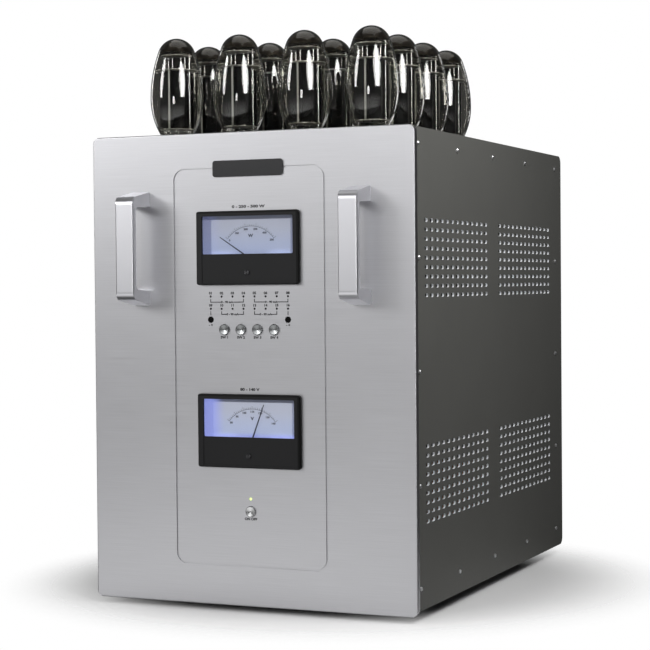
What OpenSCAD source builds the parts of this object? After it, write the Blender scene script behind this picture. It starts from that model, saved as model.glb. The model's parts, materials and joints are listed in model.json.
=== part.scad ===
// Tube monoblock power amplifier, free-standing, front toward -Y, all sizes in millimetres.
// Pieces are drawn from the front plate's lower edge (y 0 at its front face) and set by place().

/* [Case] */
// Width of the front plate
plate_w = 368; // [366:1:372]
// Height of the front plate
plate_h = 492; // [490:1:498]
// Thickness of the front plate
plate_t = 6; // [5.5:0.25:6.5]
// Corner radius of the front plate
plate_r = 8; // [4:1:12]
// Radius of the plate's front edges
plate_edge = 1.4; // [0.8:0.2:2]
// Height of the plate's lower edge over the floor
plate_gap = 6.5; // [5:0.5:9]
// Depth of the case behind the plate
case_d = 512; // [508:1:520]
// Height of the side panels' lower edge over the plate's lower edge
panel_lift = 5.3; // [4:0.1:7]
// Height of the side panels
panel_h = 485; // [484:1:486]
// Thickness of the side panels
side_t = 2; // [1.5:0.25:2.5]
// Radius of the side panels' rear corners
panel_r = 9; // [5:1:12]
// Distance of the side panels inside the plate's edge
case_inset = 0.5; // [0.25:0.25:1]
// Thickness of deck, pan and rear panel
sheet = 2.5; // [2:0.5:3]
// Side of the square frame bars
bar = 12; // [11.5:0.5:12.5]
// Distance of the rear panel inside the side panels' rear edge
rear_in = 19.5; // [19:0.5:21]
// Height of the tube deck's upper face
deck_z = 479.5; // [479:0.5:481]
// Height of the bottom pan's lower face
pan_z = 18.5; // [18:0.5:20]
// Radius of a rubber foot at the floor
foot_r = 20; // [16:1:24]
// Width between foot centres
foot_dx = 260; // [240:5:270]
// Front foot line behind the plate's front
foot_y1 = 70; // [62:1:90]
// Rear foot line behind the plate's front
foot_y2 = 440; // [400:5:450]

/* [Vents] */
// Slot length
slot_l = 9; // [7:0.5:11]
// Slot height
slot_h = 3.8; // [3:0.2:5]
// Slot pitch along the depth
slot_py = 15.75; // [15:0.25:16]
// Slot pitch in height
slot_pz = 9.5; // [9:0.25:9.75]
// Slot columns in one field
slot_ny = 13; // [11:1:13]
// Slot rows in one field
slot_nz = 9; // [7:1:9]

/* [Screws] */
// Head radius of a panel screw
head_r = 2.25; // [2:0.05:2.6]
// Head height of a panel screw
head_h = 1.6; // [1.2:0.1:2]
// Shank radius of a panel screw
shank_r = 1.5; // [1.2:0.1:1.6]
// Shank radius of a handle bolt
bolt_r = 2.5; // [2:0.25:3]

/* [Handles] */
// Distance of each handle's middle inside the plate's edge
handle_in = 58; // [54:1:62]
// Height of the handles' middle
handle_z = 372.5; // [365:0.5:380]
// Handle width
handle_w = 21; // [19:0.5:23]
// Reach of the handle in front of the plate
handle_reach = 36.5; // [34:0.5:40]
// Thickness of the grip bar
handle_t = 6.5; // [6:0.5:7.5]
// Handle height at the plate
base_h = 120; // [116:1:124]
// Handle height at the bend
nose_h = 109; // [107:1:111]
// Leg thickness at the plate
leg_t = 15.5; // [14.5:0.5:16.5]
// Radius of the outer bends
bend_r = 9; // [8:0.5:10]
// Radius of the inner corners
inner_r = 4; // [3:0.5:5]
// Radius of the grip's long front edges
grip_edge = 1.5; // [1:0.25:2]

/* [Front plate face] */
// Width between the groove's middle lines
groove_w = 171.8; // [168:0.2:174]
// Height of the groove's upper line
groove_top = 454.2; // [450:0.2:457]
// Height of the groove's lower line
groove_low = 42; // [38:0.5:46]
// Groove width
groove_t = 2; // [1.5:0.25:2.5]
// Groove depth
groove_d = 1.2; // [0.8:0.1:1.6]
// Groove corner radius
groove_r = 11; // [8:0.5:13]
// Badge width
badge_w = 80.5; // [76:0.5:84]
// Badge height
badge_h = 17; // [15:0.5:18]
// Badge thickness
badge_t = 1.6; // [1.2:0.2:2]

/* [Meters] */
// Bezel width
meter_w = 117.5; // [117:0.5:119]
// Bezel height
meter_h = 76.5; // [76:0.5:77.5]
// Bezel thickness in front of the plate
meter_out = 4.5; // [4:0.5:5]
// Height of the upper meter's middle
upper_z = 372; // [371:0.5:374]
// Height of the lower meter's middle
lower_z = 182.3; // [176:0.1:188]
// Window width
window_w = 104; // [102:0.5:105]
// Window lower edge from the meter's middle
window_lo = -6.3; // [-7:0.1:-6]
// Window upper edge from the meter's middle
window_hi = 33; // [32.5:0.1:33.5]
// Depth of the meter case behind the plate's front
meter_d = 38; // [36:1:44]
// Depth of the dial face behind the plate's front
dial_y = 6; // [5.5:0.25:7]
// Slope of the dial's surround at each side
slope_x = 6.5; // [5:0.5:7]
// Slope of the dial's surround at the top
slope_z = 3.5; // [2.5:0.25:3.5]
// Depth of the recess in the lower mask
mask_d = 0.6; // [0.4:0.1:0.8]
// Needle pivot from the meter's middle
pivot_z = -11; // [-12:0.25:-10.5]
// Needle length from the pivot
needle_l = 41; // [38:0.5:42]
// Rest angle of the upper needle from upright
upper_rest = -57; // [-60:1:-50]
// Rest angle of the lower needle from upright
lower_rest = 20.5; // [-30:0.5:30]
// Zero screw from the meter's middle
zero_z = -25.5; // [-27:0.5:-24]
// Zero screw radius
zero_r = 2.7; // [2.3:0.1:3]

/* [Controls] */
// Lamp pitch in a row
lamp_p = 12.65; // [12:0.05:13]
// Lamp radius
lamp_r = 1.15; // [1:0.05:1.4]
// Height of the upper lamp row
lamp_z1 = 321.7; // [320:0.1:324]
// Height of the lower lamp row
lamp_z2 = 309; // [307:0.1:311]
// Trimmer distance from the middle
trim_x = 44.2; // [42:0.1:46]
// Trimmer height
trim_z = 297.7; // [296.5:0.1:299]
// Trimmer radius
trim_r = 3.1; // [2.6:0.1:3.4]
// Button pitch
button_p = 19; // [18:0.25:20]
// Button height on the plate
button_z = 287.3; // [285:0.1:289]
// Button radius
button_r = 5.5; // [5:0.1:6]
// Button face in front of the plate
button_out = 1.8; // [1.7:0.1:2.4]
// Button travel
travel = 1.5; // [1:0.1:1.6]
// Power button height on the plate
power_z = 98.8; // [96:0.1:102]
// Power lamp over the power button
power_lamp_dz = 13.1; // [12:0.1:15]
// Clearance around pieces that move
gap = 0.3; // [0.25:0.05:0.4]
// Radial running fit of shafts
fit = 0.05; // [0.02:0.01:0.1]

/* [Tubes] */
// Tube pitch across
tube_px = 76; // [74:0.5:77]
// Tube pitch in depth
tube_py = 76; // [72:0.5:78]
// First tube row behind the plate's front
tube_y0 = 61; // [59:1:66]
// Height of the bulbs' tops
tube_top = 601; // [601:0.5:603]
// Largest bulb radius
bulb_r = 28.65; // [28:0.05:29.5]
// Depth of the largest radius below the top
bulb_m = 65.5; // [64:0.5:67]
// Radius of the bulb's upper side curve
bulb_up = 150; // [144:6:156]
// Radius of the bulb's lower side curve
bulb_low = 76; // [74:1:80]
// Neck radius
neck_r = 18; // [17.5:0.25:18.5]
// Glass thickness
glass_t = 1.2; // [1:0.1:1.4]
// Base height
base_t = 14; // [13:0.5:14.5]
// Base radius
base_r = 19; // [18.75:0.25:20]
// Socket radius
socket_r = 22; // [21.5:0.5:23]

/* [Tube insides] */
// Upper mica below the bulb's top
mica_up = 19.5; // [18.5:0.5:20.5]
// Middle mica below the bulb's top
mica_mid = 35.5; // [34:0.5:37]
// Lower mica below the bulb's top
mica_low = 98; // [96:0.5:98.5]
// Upper mica radius
mica_up_r = 16.5; // [15:0.25:17]
// Middle mica radius
mica_r = 22; // [20:0.5:23]
// Lower mica radius
mica_low_r = 18; // [17:0.25:18.25]
// Anode box width
anode_w = 24; // [20:1:26]
// Anode box depth
anode_d = 22; // [18:1:22]
// Width over the anode's side flanges
flange_w = 30; // [28:1:31]
// Depth over the anode's fins
fin_d = 36; // [32:1:38]

/* [Inside and rear] */
// Gap between the two transformer cores
core_gap = 22; // [16:1:30]
// Gap between a core and the frame
core_clear = 8.5; // [6:0.5:12]
// Transformer core height
core_h = 125; // [115:1:135]
// Transformer core stack
core_s = 70; // [60:2:74]
// Depth of the winding over the core at each face
coil_out = 24; // [20:1:26]
// Gap between the windings and the rear sockets
coil_clear = 9.5; // [8:0.5:12]
// Capacitor radius
can_r = 25; // [22:1:27]
// Capacitor height
can_h = 105; // [90:5:115]
// Capacitor pitch across
can_px = 72; // [66:1:76]
// Driver tube pitch
driver_p = 60; // [50:1:70]
// Driver tube radius
driver_r = 11; // [10:0.5:12]
// Driver tube height to the dome
driver_h = 48; // [40:1:52]
// Main board edge inside the frame
board_in = 17.5; // [12:0.5:24]
// Main board's front edge behind the plate
board_front = 34; // [30:1:40]
// Main board's rear edge before the windings
board_back = 59; // [50:1:66]
// Fan frame side
fan_w = 119; // [115:1:120]
// Fan frame depth
fan_d = 25; // [24:1:26]
// Fan distance from the middle
fan_x = 80; // [76:1:84]
// Fan height
fan_z = 330; // [315:1:350]
// Mains inlet's middle inside the side panel
inlet_in = 71.5; // [62:0.5:80]
// Mains inlet height
inlet_z = 80; // [70:1:90]
// Mains inlet depth behind the rear panel's face
inlet_d = 30; // [26:1:32]
// Input socket's middle inside the side panel
input_in = 71.5; // [52:0.5:80]
// Input socket height
input_z = 200; // [180:1:220]
// Input socket body radius
input_r = 11.8; // [11:0.1:12.5]
// Input socket body depth
input_d = 18; // [16:0.5:20]
// Speaker posts' first one inside the side panel
post_in = 141.5; // [135:0.5:148]
// Deck vent length
deck_slot_l = 70; // [50:1:80]
// Deck vent width
deck_slot_w = 6; // [4:0.5:8]
// Deck vent pitch
deck_slot_p = 18; // [14:1:20]
// Deck vents in the row
deck_slot_n = 15; // [9:2:17]
// Speaker post pitch
post_p = 30; // [26:1:32]
// Speaker post radius
post_r = 3; // [2.5:0.25:3.5]

/* [Hidden] */
$fn = 64;
rear_y = plate_t + case_d;
back_y = rear_y - rear_in - sheet;
handle_x = plate_w / 2 - handle_in;
panel_x = plate_w / 2 - case_inset;
in_x = panel_x - side_t;
mid_y = (rear_y - handle_reach) / 2;
deck_low = deck_z - sheet;
pan_top = pan_z + sheet;
screw_y = [plate_t + 3.75, 127.5, 246.5, 367, back_y - bar / 2];
screw_z = [pan_top + 7, 131, 245.5, 359.6, deck_low - 3.5];
vent_y = [126.5, 365.7];
vent_z = [131.2, 359.7];
bolt_dz = base_h / 2 - leg_t / 2;
wall = 2;
front_wall = 2.5;
meter_side = 1.2;
meter_rim = 2.2;
pane_gap = 0.2;
body_w = meter_w - 2 * meter_side;
body_h = meter_h - 2 * meter_side;
meter_in_x = body_w / 2 - wall;
meter_in_z = body_h / 2 - wall;
flange_t = 1.5;
switch_y = plate_t + gap + flange_t + 1.6 + gap;
switch_d = 8;
board_y = switch_y + switch_d;
board_t = 1.6;
lamp_in = 0.5;
tube_n = [0, 1, 2, 3];
neck_z = deck_z + base_t;
mica_t = 0.8;
mica_z1 = tube_top - mica_low - mica_t - neck_z;
mica_z2 = tube_top - mica_mid - neck_z;
anode_h = mica_z2 - mica_z1 - mica_t;
mica_z3 = tube_top - mica_up - neck_z;
rod_x = 15.2;
rod_r = 0.9;
post_xs = [-10, -5, 5, 10];
grid_r = 0.7;
getter_x = 7;
dome_r = (2 * bulb_up * bulb_r - bulb_r * bulb_r - bulb_m * bulb_m) / (2 * (bulb_up - bulb_m));
pin_c = 8.7;
core_w = in_x - bar - core_clear - core_gap / 2;
coil_d = core_s + 2 * coil_out;
trafo_y = back_y + sheet - inlet_d - coil_clear - coil_d / 2;
trafo_x = (core_w + core_gap) / 2;
mboard_x = in_x - bar - board_in;
mboard_y0 = plate_t + board_front;
mboard_y1 = trafo_y - coil_d / 2 - board_back;
mboard_z = pan_top + 10;
row_gap = (mboard_y1 - mboard_y0 - 4 * can_r - 2 * driver_r) / 6;
can_y = mboard_y0 + 1.25 * row_gap + can_r;
can_py = 2 * can_r + row_gap;
driver_y = mboard_y1 - 1.55 * row_gap - driver_r;
tube_edge = socket_r + 14;
post_x0 = in_x - post_in;
inlet_x = in_x - inlet_in;
input_x = in_x - input_in;
meter_lamp_p = meter_w / 9;
post_z = 110;
post_end = rear_y - 2;
outer_y = back_y + sheet;

// Sets a piece drawn from the plate's lower edge into the shared frame
module place() {
  translate([0, -mid_y, plate_gap])
    children();
}

// Prism along Y from a drawing in x and z
module xz(y0, y1) {
  translate([0, y1, 0])
    rotate([90, 0, 0])
      linear_extrude(height = y1 - y0)
        children();
}

// Prism along X from a drawing in y and z
module yz(x0, x1) {
  translate([x0, 0, 0])
    rotate([90, 0, 90])
      linear_extrude(height = x1 - x0)
        children();
}

// Cylinder along Y
module ycyl(x, z, y0, y1, r) {
  translate([x, y0, z])
    rotate([-90, 0, 0])
      cylinder(h = y1 - y0, r = r);
}

// Box from two corners
module block(a, b) {
  translate(a)
    cube(b - a);
}

// Centred rectangle with round corners
module rrect(w, h, r) {
  square([w - 2 * r, h], center = true);
  square([w, h - 2 * r], center = true);
  for (sx = [-1, 1])
    for (sy = [-1, 1])
      translate([sx * (w / 2 - r), sy * (h / 2 - r)])
        circle(r = r);
}

// Plate with round corners, its long front edges rounded too
module soft_plate(w, h, t, r, e) {
  intersection() {
    xz(0, t)
      rrect(w, h, r);
    translate([0, 0, -h])
      linear_extrude(height = 2 * h)
        translate([0, t])
          rrect(w, 2 * t, e);
    yz(-w, w)
      translate([t, 0])
        rrect(2 * t, h, e);
  }
}

// Slotted cylinder along Y, slot in its front face
module slotted(x, z, y0, y1, r, cut) {
  difference() {
    ycyl(x, z, y0, y1, r);
    block([x - r - 1, y0 - 1, z - 0.4], [x + r + 1, y0 + cut, z + 0.4]);
  }
}

module faceplate() {
  color("#c9c9ca")
    place()
      difference() {
        translate([0, 0, plate_h / 2])
          soft_plate(plate_w, plate_h, plate_t, plate_r, plate_edge);
        groove();
        for (z = [upper_z, lower_z])
          translate([0, 0, z])
            xz(-1, plate_t + 1)
              square([body_w + 0.6, body_h + 0.6], center = true);
        for (i = [0 : 7])
          for (z = [lamp_z1, lamp_z2])
            ycyl((i - 3.5) * lamp_p, z, -1, plate_t + 1, lamp_r + 0.05);
        ycyl(0, power_z + power_lamp_dz, -1, plate_t + 1, lamp_r + 0.45);
        for (i = [0 : 3])
          ycyl((i - 1.5) * button_p, button_z, -1, plate_t + 1, button_r + gap);
        ycyl(0, power_z, -1, plate_t + 1, button_r + gap);
        for (s = [-1, 1])
          ycyl(s * trim_x, trim_z, -1, plate_t + 1, trim_r + gap);
        for (s = [-1, 1])
          for (d = [-1, 1])
            ycyl(s * handle_x, handle_z + d * bolt_dz, -1, plate_t + 1, bolt_r + 0.25);
      }
}

// The machined line around the controls
module groove() {
  gh = groove_top - groove_low;
  translate([0, 0, (groove_top + groove_low) / 2])
    xz(-1, groove_d)
      difference() {
        rrect(groove_w + groove_t, gh + groove_t, groove_r + groove_t / 2);
        rrect(groove_w - groove_t, gh - groove_t, groove_r - groove_t / 2);
      }
}

module badge_plate() {
  color("#17171a")
    place()
      translate([0, -badge_t, groove_top])
        soft_plate(badge_w, badge_h, badge_t, 3.5, 0.5);
}

// Side outline of a handle: y forward of the plate is negative
module handle_side() {
  r = bend_r;
  run = handle_reach;
  rise = (base_h - nose_h) / 2;
  a = atan2(rise, run);
  h = nose_h / 2;
  difference() {
    union() {
      polygon([
        [0, -base_h / 2], [0, base_h / 2],
        [-run + r - r * sin(a), h - r + r * cos(a)],
        [-run + r, h - r], [-run, h - r], [-run, -h + r], [-run + r, -h + r],
        [-run + r - r * sin(a), -h + r - r * cos(a)]
      ]);
      for (s = [-1, 1])
        translate([-run + r, s * (h - r)])
          circle(r = r);
    }
    handle_hole();
  }
}

// The finger gap inside a handle, seen from the side
module handle_hole() {
  y1 = -handle_reach + handle_t;
  z0 = base_h / 2 - leg_t;
  z1 = z0 - 1.5;
  polygon([
    [1, -z0], [1, z0], [y1 + inner_r, z1], [y1 + inner_r, z1 - inner_r], [y1, z1 - inner_r],
    [y1, -z1 + inner_r], [y1 + inner_r, -z1 + inner_r], [y1 + inner_r, -z1]
  ]);
  for (s = [-1, 1])
    translate([y1 + inner_r, s * (z1 - inner_r)])
      circle(r = inner_r);
}

module handle_at(x) {
  place()
    translate([x, 0, handle_z])
      difference() {
        intersection() {
          yz(-handle_w / 2, handle_w / 2)
            handle_side();
          translate([0, 0, -base_h])
            linear_extrude(height = 2 * base_h)
              rrect(handle_w, 2 * handle_reach, grip_edge);
          xz(-handle_reach - 1, 1)
            rrect(handle_w, base_h, 2.5);
        }
        for (s = [-1, 1])
          ycyl(0, s * bolt_dz, -13, 1, bolt_r + 0.05);
      }
}

module handle_left() {
  color("#d4d4d8")
    handle_at(-handle_x);
}

module handle_right() {
  color("#d4d4d8")
    handle_at(handle_x);
}

module handle_bolts() {
  color("#9a9a9c")
    place()
      for (s = [-1, 1])
        for (d = [-1, 1])
          union() {
            ycyl(s * handle_x, handle_z + d * bolt_dz, -12, plate_t, bolt_r);
            ycyl(s * handle_x, handle_z + d * bolt_dz, plate_t, plate_t + 4, bolt_r * 1.8);
          }
}

module meter_case(z) {
  place()
    translate([0, 0, z])
      difference() {
        union() {
          translate([0, -meter_out, 0])
            soft_plate(meter_w, meter_h, meter_out, 3.5, 1.6);
          block([-body_w / 2, 0, -body_h / 2], [body_w / 2, meter_d, body_h / 2]);
        }
        block([-meter_in_x, -meter_out + front_wall, -meter_in_z], [meter_in_x, meter_d - wall, meter_in_z]);
        translate([0, 0, (window_lo + window_hi) / 2])
          xz(-meter_out - 1, 1)
            rrect(window_w, window_hi - window_lo, 1.5);
        block([-window_w / 2, -meter_out - 1, -meter_h / 2 + meter_rim],
              [window_w / 2, -meter_out + mask_d, window_lo + 1]);
        ycyl(0, zero_z, -meter_out - 1, 0, zero_r + fit);
      }
}

module meter_case_upper() {
  color("#1d1d1e")
    meter_case(upper_z);
}

module meter_case_lower() {
  color("#1d1d1e")
    meter_case(lower_z);
}

module meter_window(z) {
  place()
    translate([0, 0, z])
      block([-meter_in_x, -meter_out + front_wall, window_lo - 3], [meter_in_x, 0, meter_in_z]);
}

module meter_window_upper() {
  color("#dfe6f2", 0.3)
    meter_window(upper_z);
}

module meter_window_lower() {
  color("#dfe6f2", 0.3)
    meter_window(lower_z);
}

// Dial plate with its sloped surround at both sides and the top
module meter_dial(z) {
  ys = dial_y + 0.5;
  edge = window_w / 2;
  place()
    translate([0, 0, z])
      difference() {
        union() {
          block([-meter_in_x, dial_y, -meter_in_z], [meter_in_x, dial_y + 1, meter_in_z]);
          for (m = [0, 1])
            mirror([m, 0, 0])
              translate([0, 0, pivot_z])
                linear_extrude(height = meter_in_z - pivot_z)
                  polygon([[meter_in_x, pane_gap], [edge, pane_gap], [edge - slope_x, dial_y],
                           [edge - slope_x, ys], [meter_in_x, ys]]);
          yz(-meter_in_x, meter_in_x)
            polygon([[pane_gap, meter_in_z], [pane_gap, window_hi], [dial_y, window_hi - slope_z],
                     [ys, window_hi - slope_z], [ys, meter_in_z]]);
        }
        ycyl(0, pivot_z, dial_y - 1, dial_y + 2, 2);
      }
}

module meter_dial_upper() {
  color("#b4b9d2")
    meter_dial(upper_z);
}

module meter_dial_lower() {
  color("#b0b4da")
    meter_dial(lower_z);
}

module meter_movement(z) {
  place()
    translate([0, 0, z])
      difference() {
        block([-22, dial_y + 1, -meter_in_z], [22, meter_d - wall, 5]);
        ycyl(0, pivot_z, dial_y, dial_y + 16, 1 + fit);
      }
}

module meter_movement_upper() {
  color("#6d6d70")
    meter_movement(upper_z);
}

module meter_movement_lower() {
  color("#6d6d70")
    meter_movement(lower_z);
}

module needle(z, rest) {
  place()
    translate([0, 0, z + pivot_z])
      rotate([0, rest, 0])
        union() {
          xz(dial_y - 2.6, dial_y - 1.8)
            polygon([[-0.9, -11], [0.9, -11], [0.7, 4], [0.3, needle_l], [-0.3, needle_l], [-0.7, 4]]);
          ycyl(0, 0, dial_y - 3.2, dial_y - 0.6, 3);
          ycyl(0, 0, dial_y - 0.8, dial_y + 14, 1);
        }
}

module needle_upper() {
  color("#3c3c4e")
    needle(upper_z, upper_rest);
}

module needle_lower() {
  color("#3c3c4e")
    needle(lower_z, lower_rest);
}

module zero_screw(z) {
  y0 = -meter_out - 0.7;
  y1 = -meter_out + front_wall + gap;
  place()
    translate([0, 0, z + zero_z])
      union() {
        slotted(0, 0, y0, y1, zero_r, 0.6);
        ycyl(0, 0, y1 - 0.01, y1 + 1.2, zero_r + 1);
      }
}

module zero_screw_upper() {
  color("#2a2a2c")
    zero_screw(upper_z);
}

module zero_screw_lower() {
  color("#2a2a2c")
    zero_screw(lower_z);
}

// Small lamps behind each mask, shining up over the dial
module meter_lamps() {
  color("#dfe4ff")
    place()
      for (z = [upper_z, lower_z])
        for (i = [-3, -2, 2, 3])
          translate([i * meter_lamp_p, 0, z + window_lo])
            block([-2.5, dial_y - 2, -6], [2.5, dial_y, -2]);
}

module bias_lamps() {
  color("#1a1a1c")
    place()
      for (i = [0 : 7])
        for (z = [lamp_z1, lamp_z2])
          lamp((i - 3.5) * lamp_p, z, lamp_r);
}

// Lamp with a domed end in the plate's face
module lamp(x, z, r) {
  union() {
    ycyl(x, z, lamp_in, board_y, r);
    translate([x, lamp_in, z])
      sphere(r = r, $fn = 32);
  }
}

module power_lamp() {
  color("#c8e060")
    place()
      lamp(0, power_z + power_lamp_dz, lamp_r + 0.4);
}

module button(x, z) {
  place()
    translate([x, 0, z])
      union() {
        translate([0, -button_out, 0])
          rotate([-90, 0, 0])
            difference() {
              cylinder(h = button_out + plate_t + gap, r = button_r);
              translate([0, 0, -0.01])
                cylinder(h = 0.8, r1 = button_r - 0.5, r2 = 0.6);
            }
        ycyl(0, 0, plate_t + gap, plate_t + gap + flange_t, button_r + 1.5);
        ycyl(0, 0, plate_t + gap + flange_t - 0.01, switch_y + 4, 1.5);
      }
}

module button_1() {
  color("#d8d8dc")
    button(-1.5 * button_p, button_z);
}

module button_2() {
  color("#d8d8dc")
    button(-0.5 * button_p, button_z);
}

module button_3() {
  color("#d8d8dc")
    button(0.5 * button_p, button_z);
}

module button_4() {
  color("#d8d8dc")
    button(1.5 * button_p, button_z);
}

module power_button() {
  color("#d8d8dc")
    button(0, power_z);
}

module switch_body(x, z) {
  difference() {
    block([x - 6, switch_y, z - 6], [x + 6, board_y, z + 6]);
    ycyl(x, z, switch_y - 1, board_y - 1.5, 1.5 + fit);
  }
}

module switch_bodies() {
  color("#222224")
    place() {
      for (i = [0 : 3])
        switch_body((i - 1.5) * button_p, button_z);
      switch_body(0, power_z);
      for (s = [-1, 1])
        difference() {
          block([s * trim_x - 4, board_y - 6, trim_z - 4], [s * trim_x + 4, board_y, trim_z + 4]);
          ycyl(s * trim_x, trim_z, board_y - 7, board_y - 1.5, 1.5 + fit);
        }
    }
}

module trimmer(x) {
  place()
    union() {
      slotted(x, trim_z, 0.4, board_y - 6 - gap, trim_r, 1);
      ycyl(x, trim_z, board_y - 6 - gap - 0.01, board_y - 2, 1.5);
    }
}

module trimmer_left() {
  color("#141415")
    trimmer(-trim_x);
}

module trimmer_right() {
  color("#141415")
    trimmer(trim_x);
}

module control_boards() {
  color("#2c5a3c")
    place() {
      block([-1.18 * trim_x, board_y, button_z - 10], [1.18 * trim_x, board_y + board_t, lamp_z1 + 6]);
      translate([0, board_y, power_z])
        block([-3 * button_r, 0, -10], [3 * button_r, board_t, power_lamp_dz + 6]);
    }
}

// Slot with round ends, its length along the first axis
module slot(l, h) {
  square([l - h, h], center = true);
  for (s = [-1, 1])
    translate([s * (l - h) / 2, 0])
      circle(r = h / 2, $fn = 24);
}

module side_panel(x0, x1) {
  place()
    yz(x0, x1)
      difference() {
        panel_outline();
        for (fy = vent_y)
          for (fz = vent_z)
            for (i = [0 : slot_ny - 1])
              for (j = [0 : slot_nz - 1])
                translate([fy + (i - (slot_ny - 1) / 2) * slot_py, fz + (j - (slot_nz - 1) / 2) * slot_pz])
                  slot(slot_l, slot_h);
        for (p = screw_points())
          translate(p)
            circle(r = shank_r + 0.25, $fn = 24);
      }
}

// Side panel outline: square at the plate, round at the rear
module panel_outline() {
  translate([plate_t, panel_lift])
    square([case_d - panel_r, panel_h]);
  translate([plate_t, panel_lift + panel_r])
    square([case_d, panel_h - 2 * panel_r]);
  for (z = [panel_lift + panel_r, panel_lift + panel_h - panel_r])
    translate([rear_y - panel_r, z])
      circle(r = panel_r);
}

function screw_points() = [
  for (i = [0 : 4])
    for (j = [0 : 4])
      if (i == 0 || i == 4 || j == 0 || j == 4)
        [screw_y[i], screw_z[j]]
];

module side_panel_left() {
  color("#4b4b48")
    side_panel(-panel_x, -in_x);
}

module side_panel_right() {
  color("#4b4b48")
    side_panel(in_x, panel_x);
}

module side_screws() {
  color("#c9c9cc")
    place()
      for (s = [-1, 1])
        for (p = screw_points())
          translate([s * panel_x, p[0], p[1]])
            rotate([0, s * 90, 0])
              union() {
                difference() {
                  union() {
                    cylinder(h = head_h / 2, r = head_r, $fn = 24);
                    translate([0, 0, head_h / 2 - 0.01])
                      cylinder(h = head_h / 2 + 0.01, r1 = head_r, r2 = head_r - head_h / 2, $fn = 24);
                  }
                  translate([-0.4, -head_r - 1, head_h - 0.6])
                    cube([0.8, 2 * head_r + 2, 1]);
                }
                translate([0, 0, -8])
                  cylinder(h = 8.01, r = shank_r, $fn = 24);
              }
}

module chassis_frame() {
  z1 = deck_low;
  y1 = back_y;
  color("#3a3a3c")
    place()
      difference() {
        union() {
          for (s = [-1, 1]) {
            for (y = [plate_t, y1 - bar])
              translate([s * (in_x - bar / 2) - bar / 2, y, pan_top])
                cube([bar, bar, z1 - pan_top]);
            for (z = [pan_top, z1 - bar])
              translate([s * (in_x - bar / 2) - bar / 2, plate_t, z])
                cube([bar, y1 - plate_t, bar]);
          }
          for (y = [plate_t, y1 - bar])
            for (z = [pan_top, z1 - bar])
              translate([-in_x, y, z])
                cube([2 * in_x, bar, bar]);
        }
        for (s = [-1, 1])
          for (p = screw_points())
            translate([s * in_x, p[0], p[1]])
              rotate([0, s * 90, 0])
                translate([0, 0, -bar + 2])
                  cylinder(h = bar, r = shank_r + 0.1, $fn = 24);
        for (s = [-1, 1])
          for (d = [-1, 1])
            ycyl(s * handle_x, handle_z + d * bolt_dz, plate_t - 1, plate_t + 5, bolt_r * 1.8 + gap);
      }
}

module each_tube() {
  for (i = tube_n)
    for (j = tube_n)
      translate([(i - 1.5) * tube_px, tube_y0 + j * tube_py, 0])
        children();
}

module top_deck() {
  color("#38383a")
    place()
      difference() {
        block([-in_x, plate_t, deck_low], [in_x, back_y, deck_z]);
        each_tube()
          translate([0, 0, deck_low - 1])
            cylinder(h = sheet + 2, r = socket_r + 0.2);
        for (i = [0 : deck_slot_n - 1])
          translate([(i - (deck_slot_n - 1) / 2) * deck_slot_p, trafo_y, deck_low - 1])
            rotate([0, 0, 90])
              linear_extrude(height = sheet + 2)
                slot(deck_slot_l, deck_slot_w);
      }
}

module bottom_pan() {
  color("#38383a")
    place()
      union() {
        block([-in_x, plate_t, pan_z], [in_x, back_y, pan_top]);
        for (x = [-mboard_x + 12, 0, mboard_x - 12])
          for (y = [mboard_y0 + 10, mboard_y1 - 12])
            translate([x, y, pan_top - 0.01])
              cylinder(h = mboard_z - pan_top + 0.01, r = 4);
      }
}

module rear_panel() {
  color("#3f3f40")
    place()
      difference() {
        block([-in_x, back_y, pan_z], [in_x, outer_y, deck_z + 7]);
        for (s = [-1, 1])
          ycyl(s * fan_x, fan_z, back_y - 1, outer_y + 1, 56);
        translate([-inlet_x, 0, inlet_z])
          xz(back_y - 1, outer_y + 1)
            square([46.4, 26.4], center = true);
        ycyl(input_x, input_z, back_y - 1, outer_y + 1, input_r + 0.2);
        for (i = [0 : 3])
          ycyl(post_x0 + i * post_p, post_z, back_y - 1, outer_y + 1, 5.1);
      }
}

module feet() {
  color("#151516")
    place()
      for (x = [-foot_dx / 2, foot_dx / 2])
        for (y = [foot_y1, foot_y2])
          translate([x, y, -plate_gap])
            cylinder(h = plate_gap + pan_z, r1 = foot_r, r2 = foot_r + 2);
}

module tube_sockets() {
  color("#e6e2d8")
    place()
      each_tube()
        difference() {
          union() {
            translate([0, 0, deck_low - 13.5])
              cylinder(h = 13.5 + sheet, r = socket_r);
            translate([0, 0, deck_low - 2])
              cylinder(h = 2, r = socket_r + 4);
          }
          translate([0, 0, deck_z - 12])
            cylinder(h = 13, r = 4.1);
          for (k = [0 : 7])
            rotate([0, 0, 22.5 + k * 45])
              translate([pin_c, 0, deck_z - 10])
                cylinder(h = 11, r = 1.3, $fn = 24);
        }
}

module tube_board() {
  color("#2c5a3c")
    place()
      block([-2 * tube_px, tube_y0 - tube_edge, deck_low - 13.5 - board_t],
            [2 * tube_px, tube_y0 + 3 * tube_py + tube_edge, deck_low - 13.5]);
}

module tube_bases() {
  color("#1b1a1a")
    place()
      each_tube()
        translate([0, 0, deck_z])
          union() {
            cylinder(h = base_t, r = base_r);
            translate([0, 0, -11])
              cylinder(h = 11.01, r = 4);
            for (k = [0 : 7])
              rotate([0, 0, 22.5 + k * 45])
                translate([pin_c, 0, -9])
                  cylinder(h = 9.01, r = 1.2, $fn = 24);
          }
}

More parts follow.
